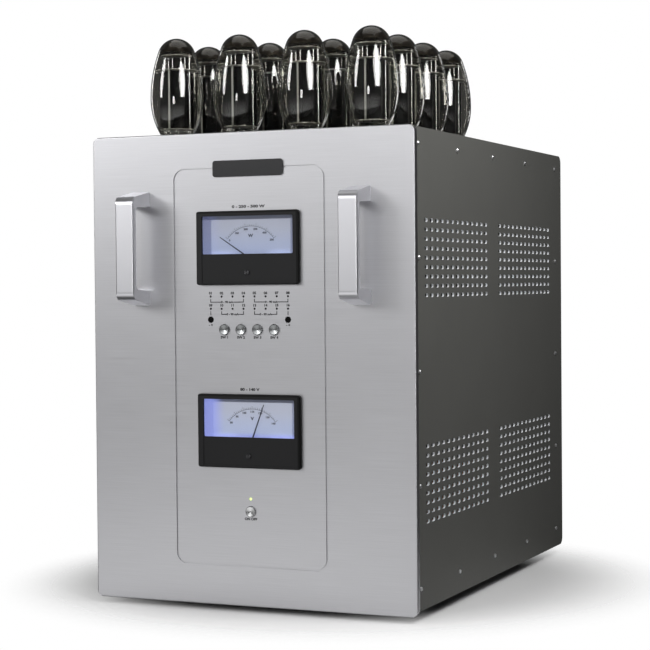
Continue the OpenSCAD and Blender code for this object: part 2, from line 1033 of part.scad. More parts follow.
// Half outline of a bulb, its top at height 0, drawn t inside the glass face
module bulb_half(t, bottom) {
  cx = bulb_r - bulb_up;
  k = (bulb_up - t) / (bulb_up - dome_r);
  jz = -bulb_m + (bulb_m - dome_r) * k;
  lx = bulb_r - bulb_low;
  rl = bulb_low - t;
  drop = bulb_r - neck_r;
  hz = sqrt(rl * rl - (rl - drop) * (rl - drop));
  intersection() {
    translate([0, -dome_r])
      circle(r = dome_r - t);
    translate([0, jz])
      square([bulb_r, 40]);
  }
  intersection() {
    translate([cx, -bulb_m])
      circle(r = bulb_up - t);
    translate([0, -bulb_m])
      square([bulb_r + 1, jz + bulb_m]);
  }
  intersection() {
    translate([lx, -bulb_m])
      circle(r = rl);
    translate([0, -bulb_m - hz])
      square([bulb_r + 1, hz]);
  }
  translate([0, bottom])
    square([neck_r - t, 3 - bulb_m - hz - bottom]);
}

module tube_glass() {
  bottom = neck_z - tube_top;
  color("#d8dde0", 0.35)
    place()
      each_tube()
        translate([0, 0, tube_top])
          difference() {
            rotate_extrude()
              bulb_half(0, bottom);
            rotate_extrude()
              bulb_half(glass_t, bottom + glass_t);
          }
}

module tube_anodes() {
  color("#1c1c1d")
    place()
      each_tube()
        translate([0, 0, neck_z + mica_z1 + mica_t])
          union() {
            translate([-anode_w / 2, -anode_d / 2, 0])
              cube([anode_w, anode_d, anode_h]);
            translate([-1, -fin_d / 2, 0])
              cube([2, fin_d, anode_h]);
            for (y = [-anode_d / 2, anode_d / 2 - 2])
              translate([-flange_w / 2, y, 2])
                cube([flange_w, 2, anode_h - 4]);
          }
}

module tube_micas() {
  color("#cfc8b4")
    place()
      each_tube()
        translate([0, 0, neck_z]) {
          mica(mica_z1, mica_low_r, []);
          mica(mica_z2, mica_r, []);
          mica(mica_z3, mica_up_r, post_xs);
        }
}

// Mica disc with holes for the rods, and for the grid posts at xs
module mica(z, r, xs) {
  translate([0, 0, z])
    difference() {
      cylinder(h = mica_t, r = r);
      for (s = [-1, 1])
        translate([s * rod_x, 0, -1])
          cylinder(h = mica_t + 2, r = rod_r + 0.1, $fn = 24);
      for (x = xs)
        translate([x, 0, -1])
          cylinder(h = mica_t + 2, r = grid_r + 0.1, $fn = 24);
    }
}

module tube_rods() {
  color("#b9babb")
    place() {
      each_tube()
        translate([0, 0, neck_z])
          union() {
            for (s = [-1, 1])
              translate([s * rod_x, 0, glass_t])
                cylinder(h = mica_z3 + 4 - glass_t, r = rod_r, $fn = 24);
            translate([-rod_x, -0.5, mica_z3 + 3])
              cube([2 * rod_x, 1, 1]);
            for (s = [-1, 1])
              translate([s * getter_x, 0, mica_z3 + 2.5])
                cylinder(h = 2, r = 4, $fn = 32);
          }
      each_tube()
        for (x = post_xs)
          translate([x, 0, neck_z + mica_z2 + mica_t])
            cylinder(h = mica_z3 - mica_z2 + 1, r = grid_r, $fn = 24);
    }
}

module transformer_cores() {
  color("#55555a")
    place()
      for (s = [-1, 1])
        translate([s * trafo_x, trafo_y, pan_top + core_h / 2])
          difference() {
            cube([core_w, core_s, core_h], center = true);
            for (d = [-1, 1])
              translate([d * core_w / 4, 0, 0])
                cube([core_w / 6, core_s + 2, core_h * 2 / 3], center = true);
          }
}

module transformer_coils() {
  leg = core_w / 2 - core_w / 6;
  win = core_w / 6;
  color("#8a4a22")
    place()
      for (s = [-1, 1])
        translate([s * trafo_x, trafo_y, pan_top + core_h / 2])
          difference() {
            translate([0, 0, -core_h / 3])
              linear_extrude(height = core_h * 2 / 3)
                rrect(leg + 2 * win - 1, coil_d, 10);
            cube([leg, core_s, core_h], center = true);
          }
}

module filter_capacitors() {
  color("#2b3550")
    place()
      for (i = [0 : 3])
        for (j = [0, 1])
          translate([(i - 1.5) * can_px, can_y + j * can_py, mboard_z + board_t])
            cylinder(h = can_h, r = can_r);
}

module main_board() {
  color("#2c5a3c")
    place()
      block([-mboard_x, mboard_y0, mboard_z], [mboard_x, mboard_y1, mboard_z + board_t]);
}

module driver_tubes() {
  color("#cfd6da", 0.5)
    place()
      for (i = [0 : 3])
        translate([(i - 1.5) * driver_p, driver_y, mboard_z + board_t])
          union() {
            cylinder(h = driver_h, r = driver_r);
            translate([0, 0, driver_h])
              sphere(r = driver_r);
          }
}

module fan_frames() {
  y0 = back_y - fan_d;
  color("#1d1d1f")
    place()
      for (s = [-1, 1])
        translate([s * fan_x, 0, fan_z])
          difference() {
            union() {
              difference() {
                xz(y0, back_y)
                  rrect(fan_w, fan_w, 5);
                ycyl(0, 0, y0 - 1, back_y + 1, 56);
              }
              ycyl(0, 0, y0, y0 + 4, 20);
              block([-57, y0, -2.5], [57, y0 + 4, 2.5]);
              block([-2.5, y0, -57], [2.5, y0 + 4, 57]);
            }
            ycyl(0, 0, y0 - 1, y0 + 5, 2 + fit);
          }
}

module fan_rotor(x) {
  y0 = back_y - fan_d;
  place()
    translate([x, 0, fan_z])
      union() {
        ycyl(0, 0, y0 + 5, back_y - 3, 21);
        ycyl(0, 0, y0 + 0.5, y0 + 5.01, 2);
        for (k = [0 : 6])
          rotate([0, k * 360 / 7, 0])
            translate([36, y0 + 13, 0])
              rotate([40, 0, 0])
                cube([34, 1.8, 18], center = true);
      }
}

module fan_rotor_left() {
  color("#2b2b2d")
    fan_rotor(-fan_x);
}

module fan_rotor_right() {
  color("#2b2b2d")
    fan_rotor(fan_x);
}

module fan_guards() {
  wire = 1.8;
  color("#a9a9ab")
    place()
      for (s = [-1, 1])
        translate([s * fan_x, outer_y, fan_z])
          union() {
            for (k = [1 : 4])
              difference() {
                ycyl(0, 0, wire / 2, wire * 1.5, fan_w * (0.034 + 0.1 * k) + wire / 2);
                ycyl(0, 0, 0, wire * 2, fan_w * (0.034 + 0.1 * k) - wire / 2);
              }
            for (a = [45, 135])
              rotate([0, a, 0])
                block([-wire / 2, 0, -fan_w * 0.52], [wire / 2, wire, fan_w * 0.52]);
          }
}

module mains_inlet() {
  color("#161617")
    place()
      translate([-inlet_x, 0, inlet_z])
        union() {
          difference() {
            union() {
              xz(outer_y, outer_y + 2)
                rrect(60, 32, 3);
              block([-23, outer_y - inlet_d, -13], [23, outer_y, 13]);
            }
            block([-18, outer_y - 15, -10], [18, outer_y + 3, 10]);
          }
          for (p = [[-9, -3], [9, -3], [0, 4]])
            block([p[0] - 1, outer_y - 15.01, p[1] - 2.5], [p[0] + 1, outer_y - 5, p[1] + 2.5]);
        }
}

module input_socket() {
  color("#8f8f92")
    place()
      translate([input_x, 0, input_z])
        difference() {
          union() {
            xz(outer_y, outer_y + 2)
              rrect(26, 31, 2);
            ycyl(0, 0, outer_y - input_d, outer_y, input_r);
          }
          for (a = [90, 210, 330])
            ycyl(6 * cos(a), 6 * sin(a), outer_y - 10, outer_y + 3, 1.3);
        }
}

module speaker_posts() {
  color("#b8923e")
    place()
      for (i = [0 : 3])
        translate([post_x0 + i * post_p, 0, post_z])
          union() {
            ycyl(0, 0, outer_y - 12, post_end, post_r);
            ycyl(0, 0, outer_y - 12, outer_y, 5);
            ycyl(0, 0, outer_y, outer_y + 3, 9);
          }
}

// Screw cap of a speaker post
module post_cap(i) {
  place()
    translate([post_x0 + i * post_p, 0, post_z])
      difference() {
        union() {
          ycyl(0, 0, outer_y + 3 + gap, post_end - 1, 6.5);
          xz(outer_y + 5, post_end - 3)
            circle(r = 8, $fn = 8);
        }
        ycyl(0, 0, outer_y, post_end + 1, post_r + fit);
      }
}

module post_cap_1() {
  color("#1c1c1d")
    post_cap(0);
}

module post_cap_2() {
  color("#8c1f1c")
    post_cap(1);
}

module post_cap_3() {
  color("#8c1f1c")
    post_cap(2);
}

module post_cap_4() {
  color("#8c1f1c")
    post_cap(3);
}

faceplate();
badge_plate();
handle_left();
handle_right();
handle_bolts();
meter_case_upper();
meter_window_upper();
meter_dial_upper();
meter_movement_upper();
needle_upper();
zero_screw_upper();
meter_case_lower();
meter_window_lower();
meter_dial_lower();
meter_movement_lower();
needle_lower();
zero_screw_lower();
meter_lamps();
bias_lamps();
power_lamp();
button_1();
button_2();
button_3();
button_4();
power_button();
switch_bodies();
trimmer_left();
trimmer_right();
control_boards();
side_panel_left();
side_panel_right();
side_screws();
chassis_frame();
top_deck();
bottom_pan();
rear_panel();
feet();
tube_sockets();
tube_board();
tube_bases();
tube_glass();
tube_anodes();
tube_micas();
tube_rods();
transformer_cores();
transformer_coils();
filter_capacitors();
main_board();
driver_tubes();
fan_frames();
fan_guards();
fan_rotor_left();
fan_rotor_right();
mains_inlet();
input_socket();
speaker_posts();
post_cap_1();
post_cap_2();
post_cap_3();
post_cap_4();
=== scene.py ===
"""Looks of an upright tube monoblock amplifier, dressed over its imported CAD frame."""

import json
import math

import bpy
from bpy.props import FloatProperty, FloatVectorProperty, PointerProperty
from mathutils import Matrix, Vector

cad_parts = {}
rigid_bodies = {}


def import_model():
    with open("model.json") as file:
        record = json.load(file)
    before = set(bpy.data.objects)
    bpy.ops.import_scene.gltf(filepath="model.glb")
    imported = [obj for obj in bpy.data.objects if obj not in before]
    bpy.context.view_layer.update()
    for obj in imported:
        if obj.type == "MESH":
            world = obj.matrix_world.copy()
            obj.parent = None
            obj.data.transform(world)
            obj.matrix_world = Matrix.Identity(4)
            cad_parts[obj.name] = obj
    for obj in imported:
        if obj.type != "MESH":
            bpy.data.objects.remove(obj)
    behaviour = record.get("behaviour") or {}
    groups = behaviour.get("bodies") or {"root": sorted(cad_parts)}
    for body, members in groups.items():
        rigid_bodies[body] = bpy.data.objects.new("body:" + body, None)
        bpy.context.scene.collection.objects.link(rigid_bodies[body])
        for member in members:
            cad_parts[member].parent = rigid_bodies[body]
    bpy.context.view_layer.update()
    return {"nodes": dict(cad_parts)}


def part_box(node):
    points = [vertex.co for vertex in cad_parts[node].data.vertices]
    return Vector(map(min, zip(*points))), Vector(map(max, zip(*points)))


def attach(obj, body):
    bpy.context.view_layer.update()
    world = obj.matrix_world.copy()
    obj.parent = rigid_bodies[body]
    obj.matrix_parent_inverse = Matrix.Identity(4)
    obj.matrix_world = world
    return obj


bl_info = {
    "name": "Tube monoblock looks",
    "version": (1, 0, 0),
    "blender": (4, 5, 0),
    "location": "3D View > Sidebar > Amplifier",
    "description": "Finishes, printed marks, tube details and studio for a tube monoblock amplifier",
    "category": "Object",
}

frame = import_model()
NODES = frame["nodes"]
MM = 0.001


def middle(name):
    """The middle of a CAD node's box."""
    return sum(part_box(name), Vector()) / 2


# Places that the pieces share, in metres, read from the frame
PLATE_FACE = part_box("faceplate")[0].y
REAR_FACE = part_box("rear_panel")[1].y
GLASS_LO, GLASS_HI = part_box("tube_glass")
BULB_R = 0.02865
TUBE_PITCH = (GLASS_HI.x - GLASS_LO.x - 2 * BULB_R) / 3
TUBE_X = [(i - 1.5) * TUBE_PITCH for i in range(4)]
TUBE_Y = [(GLASS_LO.y + GLASS_HI.y) / 2 + (j - 1.5) * TUBE_PITCH for j in range(4)]
APEX = GLASS_HI.z
NECK = GLASS_LO.z
METERS = {which: middle(f"meter_case_{which}").z for which in ("upper", "lower")}
LAMPS_LO, LAMPS_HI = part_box("bias_lamps")
LAMP_R = 0.00115
LAMP_ROWS = (LAMPS_HI.z - LAMP_R, LAMPS_LO.z + LAMP_R)
LAMP_PITCH = (LAMPS_HI.x - LAMPS_LO.x - 2 * LAMP_R) / 7
BUTTONS = [f"button_{k}" for k in range(1, 5)]
POST_CAPS = [f"post_cap_{k}" for k in range(1, 5)]
FAN_ROTORS = ["fan_rotor_left", "fan_rotor_right"]
REAR_NODES = ["rear_panel", "top_deck", "fan_frames", "fan_guards", *FAN_ROTORS]
REAR_NODES += ["mains_inlet", "input_socket", "speaker_posts", *POST_CAPS]


def linear(code):
    """A colour written as sRGB hex, as linear red, green, blue."""
    parts = [int(code[i : i + 2], 16) / 255 for i in (1, 3, 5)]
    return tuple(p / 12.92 if p <= 0.04045 else ((p + 0.055) / 1.055) ** 2.4 for p in parts)


def rgba(colour, by=1.0):
    """A colour with its alpha, made darker or paler by a factor."""
    return (*(min(1.0, c * by) for c in colour[:3]), 1.0)


def paint(code):
    return rgba(linear(code))


def colour_prop(title, about, code):
    return FloatVectorProperty(
        name=title, description=about, subtype="COLOR", size=3, min=0, max=1, default=linear(code)
    )


def length_prop(title, about, metres):
    return FloatProperty(name=title, description=about, unit="LENGTH", precision=5, min=0, default=metres)


def power_prop(title, about, watts):
    return FloatProperty(name=title, description=about, unit="POWER", min=0, default=watts)


class AmpColours(bpy.types.PropertyGroup):
    """Colours of the finishes."""

    plate: colour_prop("Front plate", "Brushed anodised aluminium", "#BCBCBF")
    handle: colour_prop("Handles", "Satin aluminium", "#DCDCE0")
    panel: colour_prop("Side panels", "Powder coat", "#5A5A57")
    bezel: colour_prop("Meter bezels", "Moulded ABS", "#202021")
    ink: colour_prop("Printed marks", "Screen ink", "#131315")
    # Colours of the dial card's painted glow from the lamps, far from them and close to them
    dial_top: colour_prop("Dial, top", "Card lit from below, far from the lamps", "#B2B5C0")
    dial_low: colour_prop("Dial, bottom", "Card lit from below, close to the lamps", "#AAB6D4")
    getter: colour_prop("Getter mirror", "Metal film inside the bulb's top", "#3A342B")
    lamp: colour_prop("Power lamp", "Lit lens", "#C6E05A")


class AmpSizes(bpy.types.PropertyGroup):
    """Sizes of what is added over the frame."""

    ink: length_prop("Ink", "Thickness of printed marks", 0.00005)
    label: length_prop("Label height", "Height of the small figures", 0.0025)
    caption: length_prop("Caption height", "Height of the lines over the meters", 0.0027)
    line: length_prop("Line width", "Width of printed lines", 0.0009)
    hairline: length_prop("Hairline", "Width of the dials' printed lines", 0.0004)
    scale_r: length_prop("Scale radius", "Radius of the dial's printed arc", 0.0335)
    getter: length_prop("Getter depth", "How far the mirror comes down from the bulb's top", 0.0185)
    wire: length_prop("Lead wire", "Diameter of the wires in a tube's stem", 0.0009)
    screw: length_prop("Rear screw", "Head diameter of the rear panel's screws", 0.0068)


class AmpStage(bpy.types.PropertyGroup):
    """Camera and light."""

    lens: FloatProperty(name="Lens", description="Focal length", unit="CAMERA", min=20, default=100.5)
    key: power_prop("Key light", "Left softbox", 65)
    side: power_prop("Side light", "Right softbox", 5.3)
    strip: power_prop("Strip light", "Narrow box to the right of the front", 6)
    top: power_prop("Top light", "Overhead softbox", 10)
    foot: power_prop("Foot light", "Bounce off the table onto the plate's foot", 1.0)
    rear: power_prop("Rear light", "Softbox behind the case", 110)
    tube: power_prop("Tube lights", "Boxes mirrored in the bulbs", 14)
    rim: power_prop("Rim lights", "Narrow boxes behind the tubes", 2.5)
    card: power_prop("Front card", "Wide pale card that the plate mirrors", 30)
    fill: power_prop("Front fill", "Box before the plate's right half", 0.7)
    front: power_prop("Front light", "Small round box, seen in the bulbs", 6)


def colours():
    return bpy.context.scene.amp_colours


def sizes():
    return bpy.context.scene.amp_sizes


# Shader nodes

SMOOTH = {"interpolation_type": "SMOOTHSTEP"}


def feed(tree, node, ins):
    """Gives a node its inputs, as values or links. Another node stands for its first output."""
    for name, value in ins.items():
        if isinstance(value, bpy.types.Node):
            value = next(each for each in value.outputs if each.enabled)
        if isinstance(value, bpy.types.NodeSocket):
            tree.links.new(value, node.inputs[name])
        else:
            node.inputs[name].default_value = value


def add(tree, kind, ins=None, **settings):
    """Adds a node with its settings and its inputs."""
    made = tree.nodes.new(kind)
    for name, value in settings.items():
        setattr(made, name, value)
    feed(tree, made, ins or {})
    return made


def nodes_of(material):
    """A material's node tree, its Principled shader and the coordinates for its patterns."""
    tree = material.node_tree
    return tree, tree.nodes["Principled BSDF"], tree.nodes["Texture Coordinate"]


def base_of(shader):
    """The socket that gives a shader its colour so far."""
    return shader.inputs["Base Color"].links[0].from_socket


def new_material(name, colour, roughness, metallic=0.0):
    """A material, with its node tree, its Principled shader and the object coordinates."""
    made = bpy.data.materials.new(name)
    made.use_nodes = True
    made.diffuse_color = rgba(colour)
    add(made.node_tree, "ShaderNodeTexCoord")
    tree, shader, place = nodes_of(made)
    feed(tree, shader, {"Base Color": rgba(colour), "Roughness": roughness, "Metallic": metallic})
    return made, tree, shader, place.outputs["Object"]


def dress(material, *names):
    """Gives CAD nodes a material."""
    for name in names:
        slots = NODES[name].material_slots
        if not slots:
            NODES[name].data.materials.append(material)
        for each in slots:
            each.material = material


def dress_plainly(*rows):
    """Gives CAD nodes grained finishes of one colour each."""
    for name, code, roughness, grain_mm, depth, metallic, *nodes in rows:
        dress(grained(name, linear(code), roughness, grain_mm, depth, metallic), *nodes)


def brushed_aluminium(name, colour, roughness, streak_mm, pitch_mm):
    """Plate rolled and brushed across, then clear anodised: soft sheen broken by fine level lines.
    The real lines are about 0.1 mm apart; they are drawn coarser so that they show."""
    made, tree, shader, where = new_material(name, colour, roughness, 1.0)
    along, across = 1000 / streak_mm, 1000 / pitch_mm
    scaled = add(tree, "ShaderNodeMapping", {"Vector": where, "Scale": (along, along, across)})
    lines = add(tree, "ShaderNodeTexNoise", {"Vector": scaled, "Scale": 1.0, "Detail": 3.0})
    tones = {"Factor": lines, "A": rgba(colour, 0.9), "B": rgba(colour, 1.1)}
    tone = add(tree, "ShaderNodeMix", tones, data_type="RGBA")
    sheen = {"Value": lines, "To Min": roughness - 0.05, "To Max": roughness + 0.05}
    rough = add(tree, "ShaderNodeMapRange", sheen)
    bump = add(tree, "ShaderNodeBump", {"Height": lines, "Strength": 0.06, "Distance": 0.0002})
    feed(tree, shader, {"Base Color": tone, "Roughness": rough, "Normal": bump})
    return made


def grained(name, colour, roughness, grain_mm, depth=0.12, metallic=0.0, spread=0.06):
    """A surface with an even fine grain, as from a mould, a coat of powder or a blast of beads."""
    made, tree, shader, where = new_material(name, colour, roughness, metallic)
    grain = add(tree, "ShaderNodeTexNoise", {"Vector": where, "Scale": 1000 / grain_mm, "Detail": 2.0})
    cloud = add(tree, "ShaderNodeTexNoise", {"Vector": where, "Scale": 14.0, "Detail": 2.0})
    tones = {"Factor": cloud, "A": rgba(colour, 1 - spread), "B": rgba(colour, 1 + spread)}
    tone = add(tree, "ShaderNodeMix", tones, data_type="RGBA")
    sheen = {"Value": grain, "To Min": max(0.02, roughness - 0.06), "To Max": roughness + 0.06}
    rough = add(tree, "ShaderNodeMapRange", sheen)
    bump = add(tree, "ShaderNodeBump", {"Height": grain, "Strength": depth, "Distance": grain_mm * MM / 4})
    feed(tree, shader, {"Base Color": tone, "Roughness": rough, "Normal": bump})
    return made


def powder_coat(name, colour):
    """Satin powder coat on punched aluminium sheet: an even fine grain, and bare bright metal
    on the cut walls of the vent slots."""
    made = grained(name, colour, 0.52, 0.5, 0.15)
    tree, shader, place = nodes_of(made)
    facing = add(tree, "ShaderNodeSeparateXYZ", {"Vector": place.outputs["Normal"]})
    spot = add(tree, "ShaderNodeSeparateXYZ", {"Vector": place.outputs["Object"]})
    flat = add(tree, "ShaderNodeMath", {0: facing.outputs["X"]}, operation="ABSOLUTE")
    inside = add(tree, "ShaderNodeMath", {0: flat, 1: 0.5}, operation="LESS_THAN")
    low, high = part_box("side_panel_right")
    centre, half = (low + high) / 2, (high - low) / 2
    rim = 0.012  # within this of the sheet's outline, its edges are coated too
    for k, axis in ((1, "Y"), (2, "Z")):
        off = add(tree, "ShaderNodeMath", {0: spot.outputs[axis], 1: centre[k]}, operation="SUBTRACT")
        away = add(tree, "ShaderNodeMath", {0: off}, operation="ABSOLUTE")
        within = add(tree, "ShaderNodeMath", {0: away, 1: half[k] - rim}, operation="LESS_THAN")
        inside = add(tree, "ShaderNodeMath", {0: inside, 1: within}, operation="MULTIPLY")
    tones = {"Factor": inside, "A": base_of(shader), "B": paint("#DEE0E3")}
    tone = add(tree, "ShaderNodeMix", tones, data_type="RGBA")
    feed(tree, shader, {"Base Color": tone, "Specular IOR Level": 0.12})
    return made


def moulded_bezel(name, colour, high):
    """Moulded ABS: a fine matt grain on the front, with painted shade: the edges and the outer roll
    along the right and the top are painted nearly black."""
    made = grained(name, colour, 0.45, 0.35, 0.1)
    tree, shader, place = nodes_of(made)
    right_roll, top_roll, fade = 0.0026, 0.0019, 0.0008
    facing = add(tree, "ShaderNodeSeparateXYZ", {"Vector": place.outputs["Normal"]})
    span = {"Value": facing.outputs["Y"], "From Min": -0.6, "From Max": -0.95}
    front = add(tree, "ShaderNodeMapRange", span)
    spot = add(tree, "ShaderNodeSeparateXYZ", {"Vector": place.outputs["Object"]})
    for axis, edge in (("X", high.x - right_roll), ("Z", high.z - top_roll)):
        span = {"Value": spot.outputs[axis], "From Min": edge, "From Max": edge - fade}
        within = add(tree, "ShaderNodeMapRange", span)
        front = add(tree, "ShaderNodeMath", {0: front, 1: within}, operation="MULTIPLY")
    # Painted shade: nearly black on the edges and on the right and top rolls
    tones = {"Factor": front, "A": paint("#040404"), "B": base_of(shader)}
    tone = add(tree, "ShaderNodeMix", tones, data_type="RGBA")
    feed(tree, shader, {"Base Color": tone, "Specular IOR Level": 0.15})
    return made


def spun_aluminium(name, colour, centre, pitch=0.04):
    """Turned aluminium: rings about a middle, which gather light into a bow-tie. Pieces that stand
    a pitch apart in a row share the material."""
    made, tree, shader, where = new_material(name, colour, 0.17, 1.0)
    ring = 0.5 * MM
    spot = add(tree, "ShaderNodeSeparateXYZ", {"Vector": where})
    across = add(tree, "ShaderNodeMath", {0: spot.outputs["X"], 1: centre.x}, operation="SUBTRACT")
    folded = add(tree, "ShaderNodeMath", {0: across, 1: pitch / 2, 2: -pitch / 2}, operation="WRAP")
    up = add(tree, "ShaderNodeMath", {0: spot.outputs["Z"], 1: centre.z}, operation="SUBTRACT")
    back = add(tree, "ShaderNodeMath", {0: folded, 1: -1.0}, operation="MULTIPLY")
    around = add(tree, "ShaderNodeCombineXYZ", {"X": up, "Y": 0.0, "Z": back})
    out = add(tree, "ShaderNodeCombineXYZ", {"X": folded, "Y": 0.0, "Z": up})
    reach = add(tree, "ShaderNodeVectorMath", {0: out}, operation="LENGTH")
    rings = add(tree, "ShaderNodeMath", {0: reach, 1: 2 * math.pi / ring}, operation="MULTIPLY")
    wave = add(tree, "ShaderNodeMath", {0: rings}, operation="SINE")
    bump = add(tree, "ShaderNodeBump", {"Height": wave, "Strength": 0.05, "Distance": 0.00004})
    way = add(tree, "ShaderNodeVectorMath", {0: around}, operation="NORMALIZE")
    feed(tree, shader, {"Anisotropic": 0.85, "Tangent": way, "Normal": bump})
    return made


def lit_card(name, centre, tint):
    """White printed card with the light of the lamps under its lower edge painted on as a glow: cool,
    brightest along the bottom, with painted pools of light over the lamps, painted blue half shade on
    the sloped surround and a painted shadow on its top slope. The tint is how blue the painted glow
    along its foot and left edge is."""
    made, tree, shader, where = new_material(name, linear("#8A8C96"), 0.6)
    flank_x, flank_end = 0.0448, 0.0462  # where the surround's sides start and are full
    brow_z, brow_end = centre + 0.029, centre + 0.03
    foot_z, foot_end = centre - 0.0075, centre - 0.001
    left_x, left_end = -0.047, -0.03
    lamp_x, lamp_stretch = 0.033, 0.35
    c = colours()
    spot = add(tree, "ShaderNodeSeparateXYZ", {"Vector": where})
    x, z = spot.outputs["X"], spot.outputs["Z"]
    # Painted light: the card's glow fades upwards, away from the lamps
    span = {"Value": z, "From Min": centre - 0.006, "From Max": centre + 0.026}
    rise = add(tree, "ShaderNodeMapRange", span, **SMOOTH)
    tones = {"Factor": rise, "A": rgba(c.dial_low), "B": rgba(c.dial_top)}
    glow = add(tree, "ShaderNodeMix", tones, data_type="RGBA")
    width = add(tree, "ShaderNodeMath", {0: x}, operation="ABSOLUTE")
    flank = add(tree, "ShaderNodeMapRange", {"Value": width, "From Min": flank_x, "From Max": flank_end})
    brow = add(tree, "ShaderNodeMapRange", {"Value": z, "From Min": brow_z, "From Max": brow_end})
    slope = add(tree, "ShaderNodeMath", {0: flank, 1: brow}, operation="MAXIMUM")
    # Painted half shade on the sloped sides, and a painted shadow on the top slope
    tones = {"Factor": rise, "A": paint("#6F7896"), "B": paint("#72768A")}
    painted_half_shade = add(tree, "ShaderNodeMix", tones, data_type="RGBA")
    tones = {"Factor": brow, "A": painted_half_shade, "B": paint("#0C0D12")}
    wall = add(tree, "ShaderNodeMix", tones, data_type="RGBA")
    shade = add(tree, "ShaderNodeMix", {"Factor": slope, "A": glow, "B": wall}, data_type="RGBA")
    # Painted blue glow of the lamps along the foot and the left edge
    span = {"Value": z, "From Min": foot_z, "From Max": foot_end, "To Min": tint, "To Max": 0.0}
    foot = add(tree, "ShaderNodeMapRange", span, **SMOOTH)
    span = {"Value": x, "From Min": left_x, "From Max": left_end, "To Min": tint, "To Max": 0.0}
    left = add(tree, "ShaderNodeMapRange", span, **SMOOTH)
    edge = add(tree, "ShaderNodeMath", {0: foot, 1: left}, operation="MAXIMUM")
    tones = {"Factor": edge, "A": shade, "B": paint("#929DF2")}
    blue = add(tree, "ShaderNodeMix", tones, data_type="RGBA")
    # Painted pools of light over the two lamps
    lamps = add(tree, "ShaderNodeMath", {0: width, 1: lamp_x}, operation="SUBTRACT")
    near = add(tree, "ShaderNodeMath", {0: z, 1: foot_z}, operation="SUBTRACT")
    wide = add(tree, "ShaderNodeMath", {0: lamps, 1: lamp_stretch}, operation="MULTIPLY")
    offset = add(tree, "ShaderNodeCombineXYZ", {"X": wide, "Y": 0.0, "Z": near})
    away = add(tree, "ShaderNodeVectorMath", {0: offset}, operation="LENGTH")
    span = {"Value": away, "From Min": 0.0015, "From Max": 0.008, "To Min": 1.0, "To Max": 0.66 + 0.2 * tint}
    pool = add(tree, "ShaderNodeMapRange", span, **SMOOTH)
    # All of the card's light is painted as emission
    feed(tree, shader, {"Emission Color": blue, "Emission Strength": pool})
    return made


def clear_glass(name, tint, roughness=0.0, ior=1.47):
    """Blown or drawn glass: clear, with sharp reflections of the lamps around it."""
    made, tree, shader, where = new_material(name, tint, roughness)
    ripple = add(tree, "ShaderNodeTexNoise", {"Vector": where, "Scale": 45.0, "Detail": 1.0})
    bump = add(tree, "ShaderNodeBump", {"Height": ripple, "Strength": 0.02, "Distance": 0.0006})
    feed(tree, shader, {"Transmission Weight": 1.0, "IOR": ior, "Normal": bump})
    return made


def mica_sheet(name):
    """Split mica: brown and dim on its faces, with a broken bright glint along the cut edge."""
    made, tree, shader, where = new_material(name, linear("#4A463D"), 0.3)
    flecks = add(tree, "ShaderNodeTexNoise", {"Vector": where, "Scale": 260.0, "Detail": 1.0})
    span = {"Value": flecks, "From Min": 0.5, "From Max": 0.6, "To Min": 0.25, "To Max": 1.0}
    glint = add(tree, "ShaderNodeMapRange", span)
    facing = add(tree, "ShaderNodeSeparateXYZ", {"Vector": nodes_of(made)[2].outputs["Normal"]})
    flat = add(tree, "ShaderNodeMath", {0: facing.outputs["Z"]}, operation="ABSOLUTE")
    edge = add(tree, "ShaderNodeMath", {0: flat, 1: 0.5}, operation="LESS_THAN")
    bright = add(tree, "ShaderNodeMath", {0: edge, 1: glint}, operation="MULTIPLY")
    tones = {"Factor": bright, "A": paint("#4A463D"), "B": paint("#F2EFE6")}
    feed(tree, shader, {"Base Color": add(tree, "ShaderNodeMix", tones, data_type="RGBA")})
    return made


def carbonised_nickel(name, colour):
    """Anode sheet under black carbon, dull and dark, with a painted highlight: a bright line along the
    edges of the fins that stand towards the front and the back."""
    made = grained(name, colour, 0.5, 0.4, 0.15, 0.4)
    tree, shader, place = nodes_of(made)
    half, fin = TUBE_PITCH / 2, 0.0175  # a fin's edge is this far from its tube's middle
    spot = add(tree, "ShaderNodeSeparateXYZ", {"Vector": place.outputs["Object"]})
    depth = add(tree, "ShaderNodeMath", {0: spot.outputs["Y"], 1: TUBE_Y[0]}, operation="SUBTRACT")
    folded = add(tree, "ShaderNodeMath", {0: depth, 1: half, 2: -half}, operation="WRAP")
    away = add(tree, "ShaderNodeMath", {0: folded}, operation="ABSOLUTE")
    edge = add(tree, "ShaderNodeMath", {0: away, 1: fin}, operation="GREATER_THAN")
    # Painted highlight along the fins' front and back edges
    tones = {"Factor": edge, "A": base_of(shader), "B": paint("#B9B9B6")}
    feed(tree, shader, {"Base Color": add(tree, "ShaderNodeMix", tones, data_type="RGBA")})
    return made


def getter_film(name, colour, edge_z, fade):
    """Metal film flashed on the inside of the bulb's top: a dark mirror that thins out downwards
    with a ragged edge."""
    made, tree, shader, where = new_material(name, colour, 0.3, 0.6)
    spot = add(tree, "ShaderNodeSeparateXYZ", {"Vector": where})
    ragged = add(tree, "ShaderNodeTexNoise", {"Vector": where, "Scale": 120.0, "Detail": 3.0})
    wander = add(tree, "ShaderNodeMapRange", {"Value": ragged, "To Min": -fade / 2, "To Max": fade / 2})
    height = add(tree, "ShaderNodeMath", {0: spot.outputs["Z"], 1: wander}, operation="ADD")
    span = {"Value": height, "From Min": edge_z, "From Max": edge_z + fade}
    cover = add(tree, "ShaderNodeMapRange", span, **SMOOTH)
    feed(tree, shader, {"Alpha": cover})
    return made


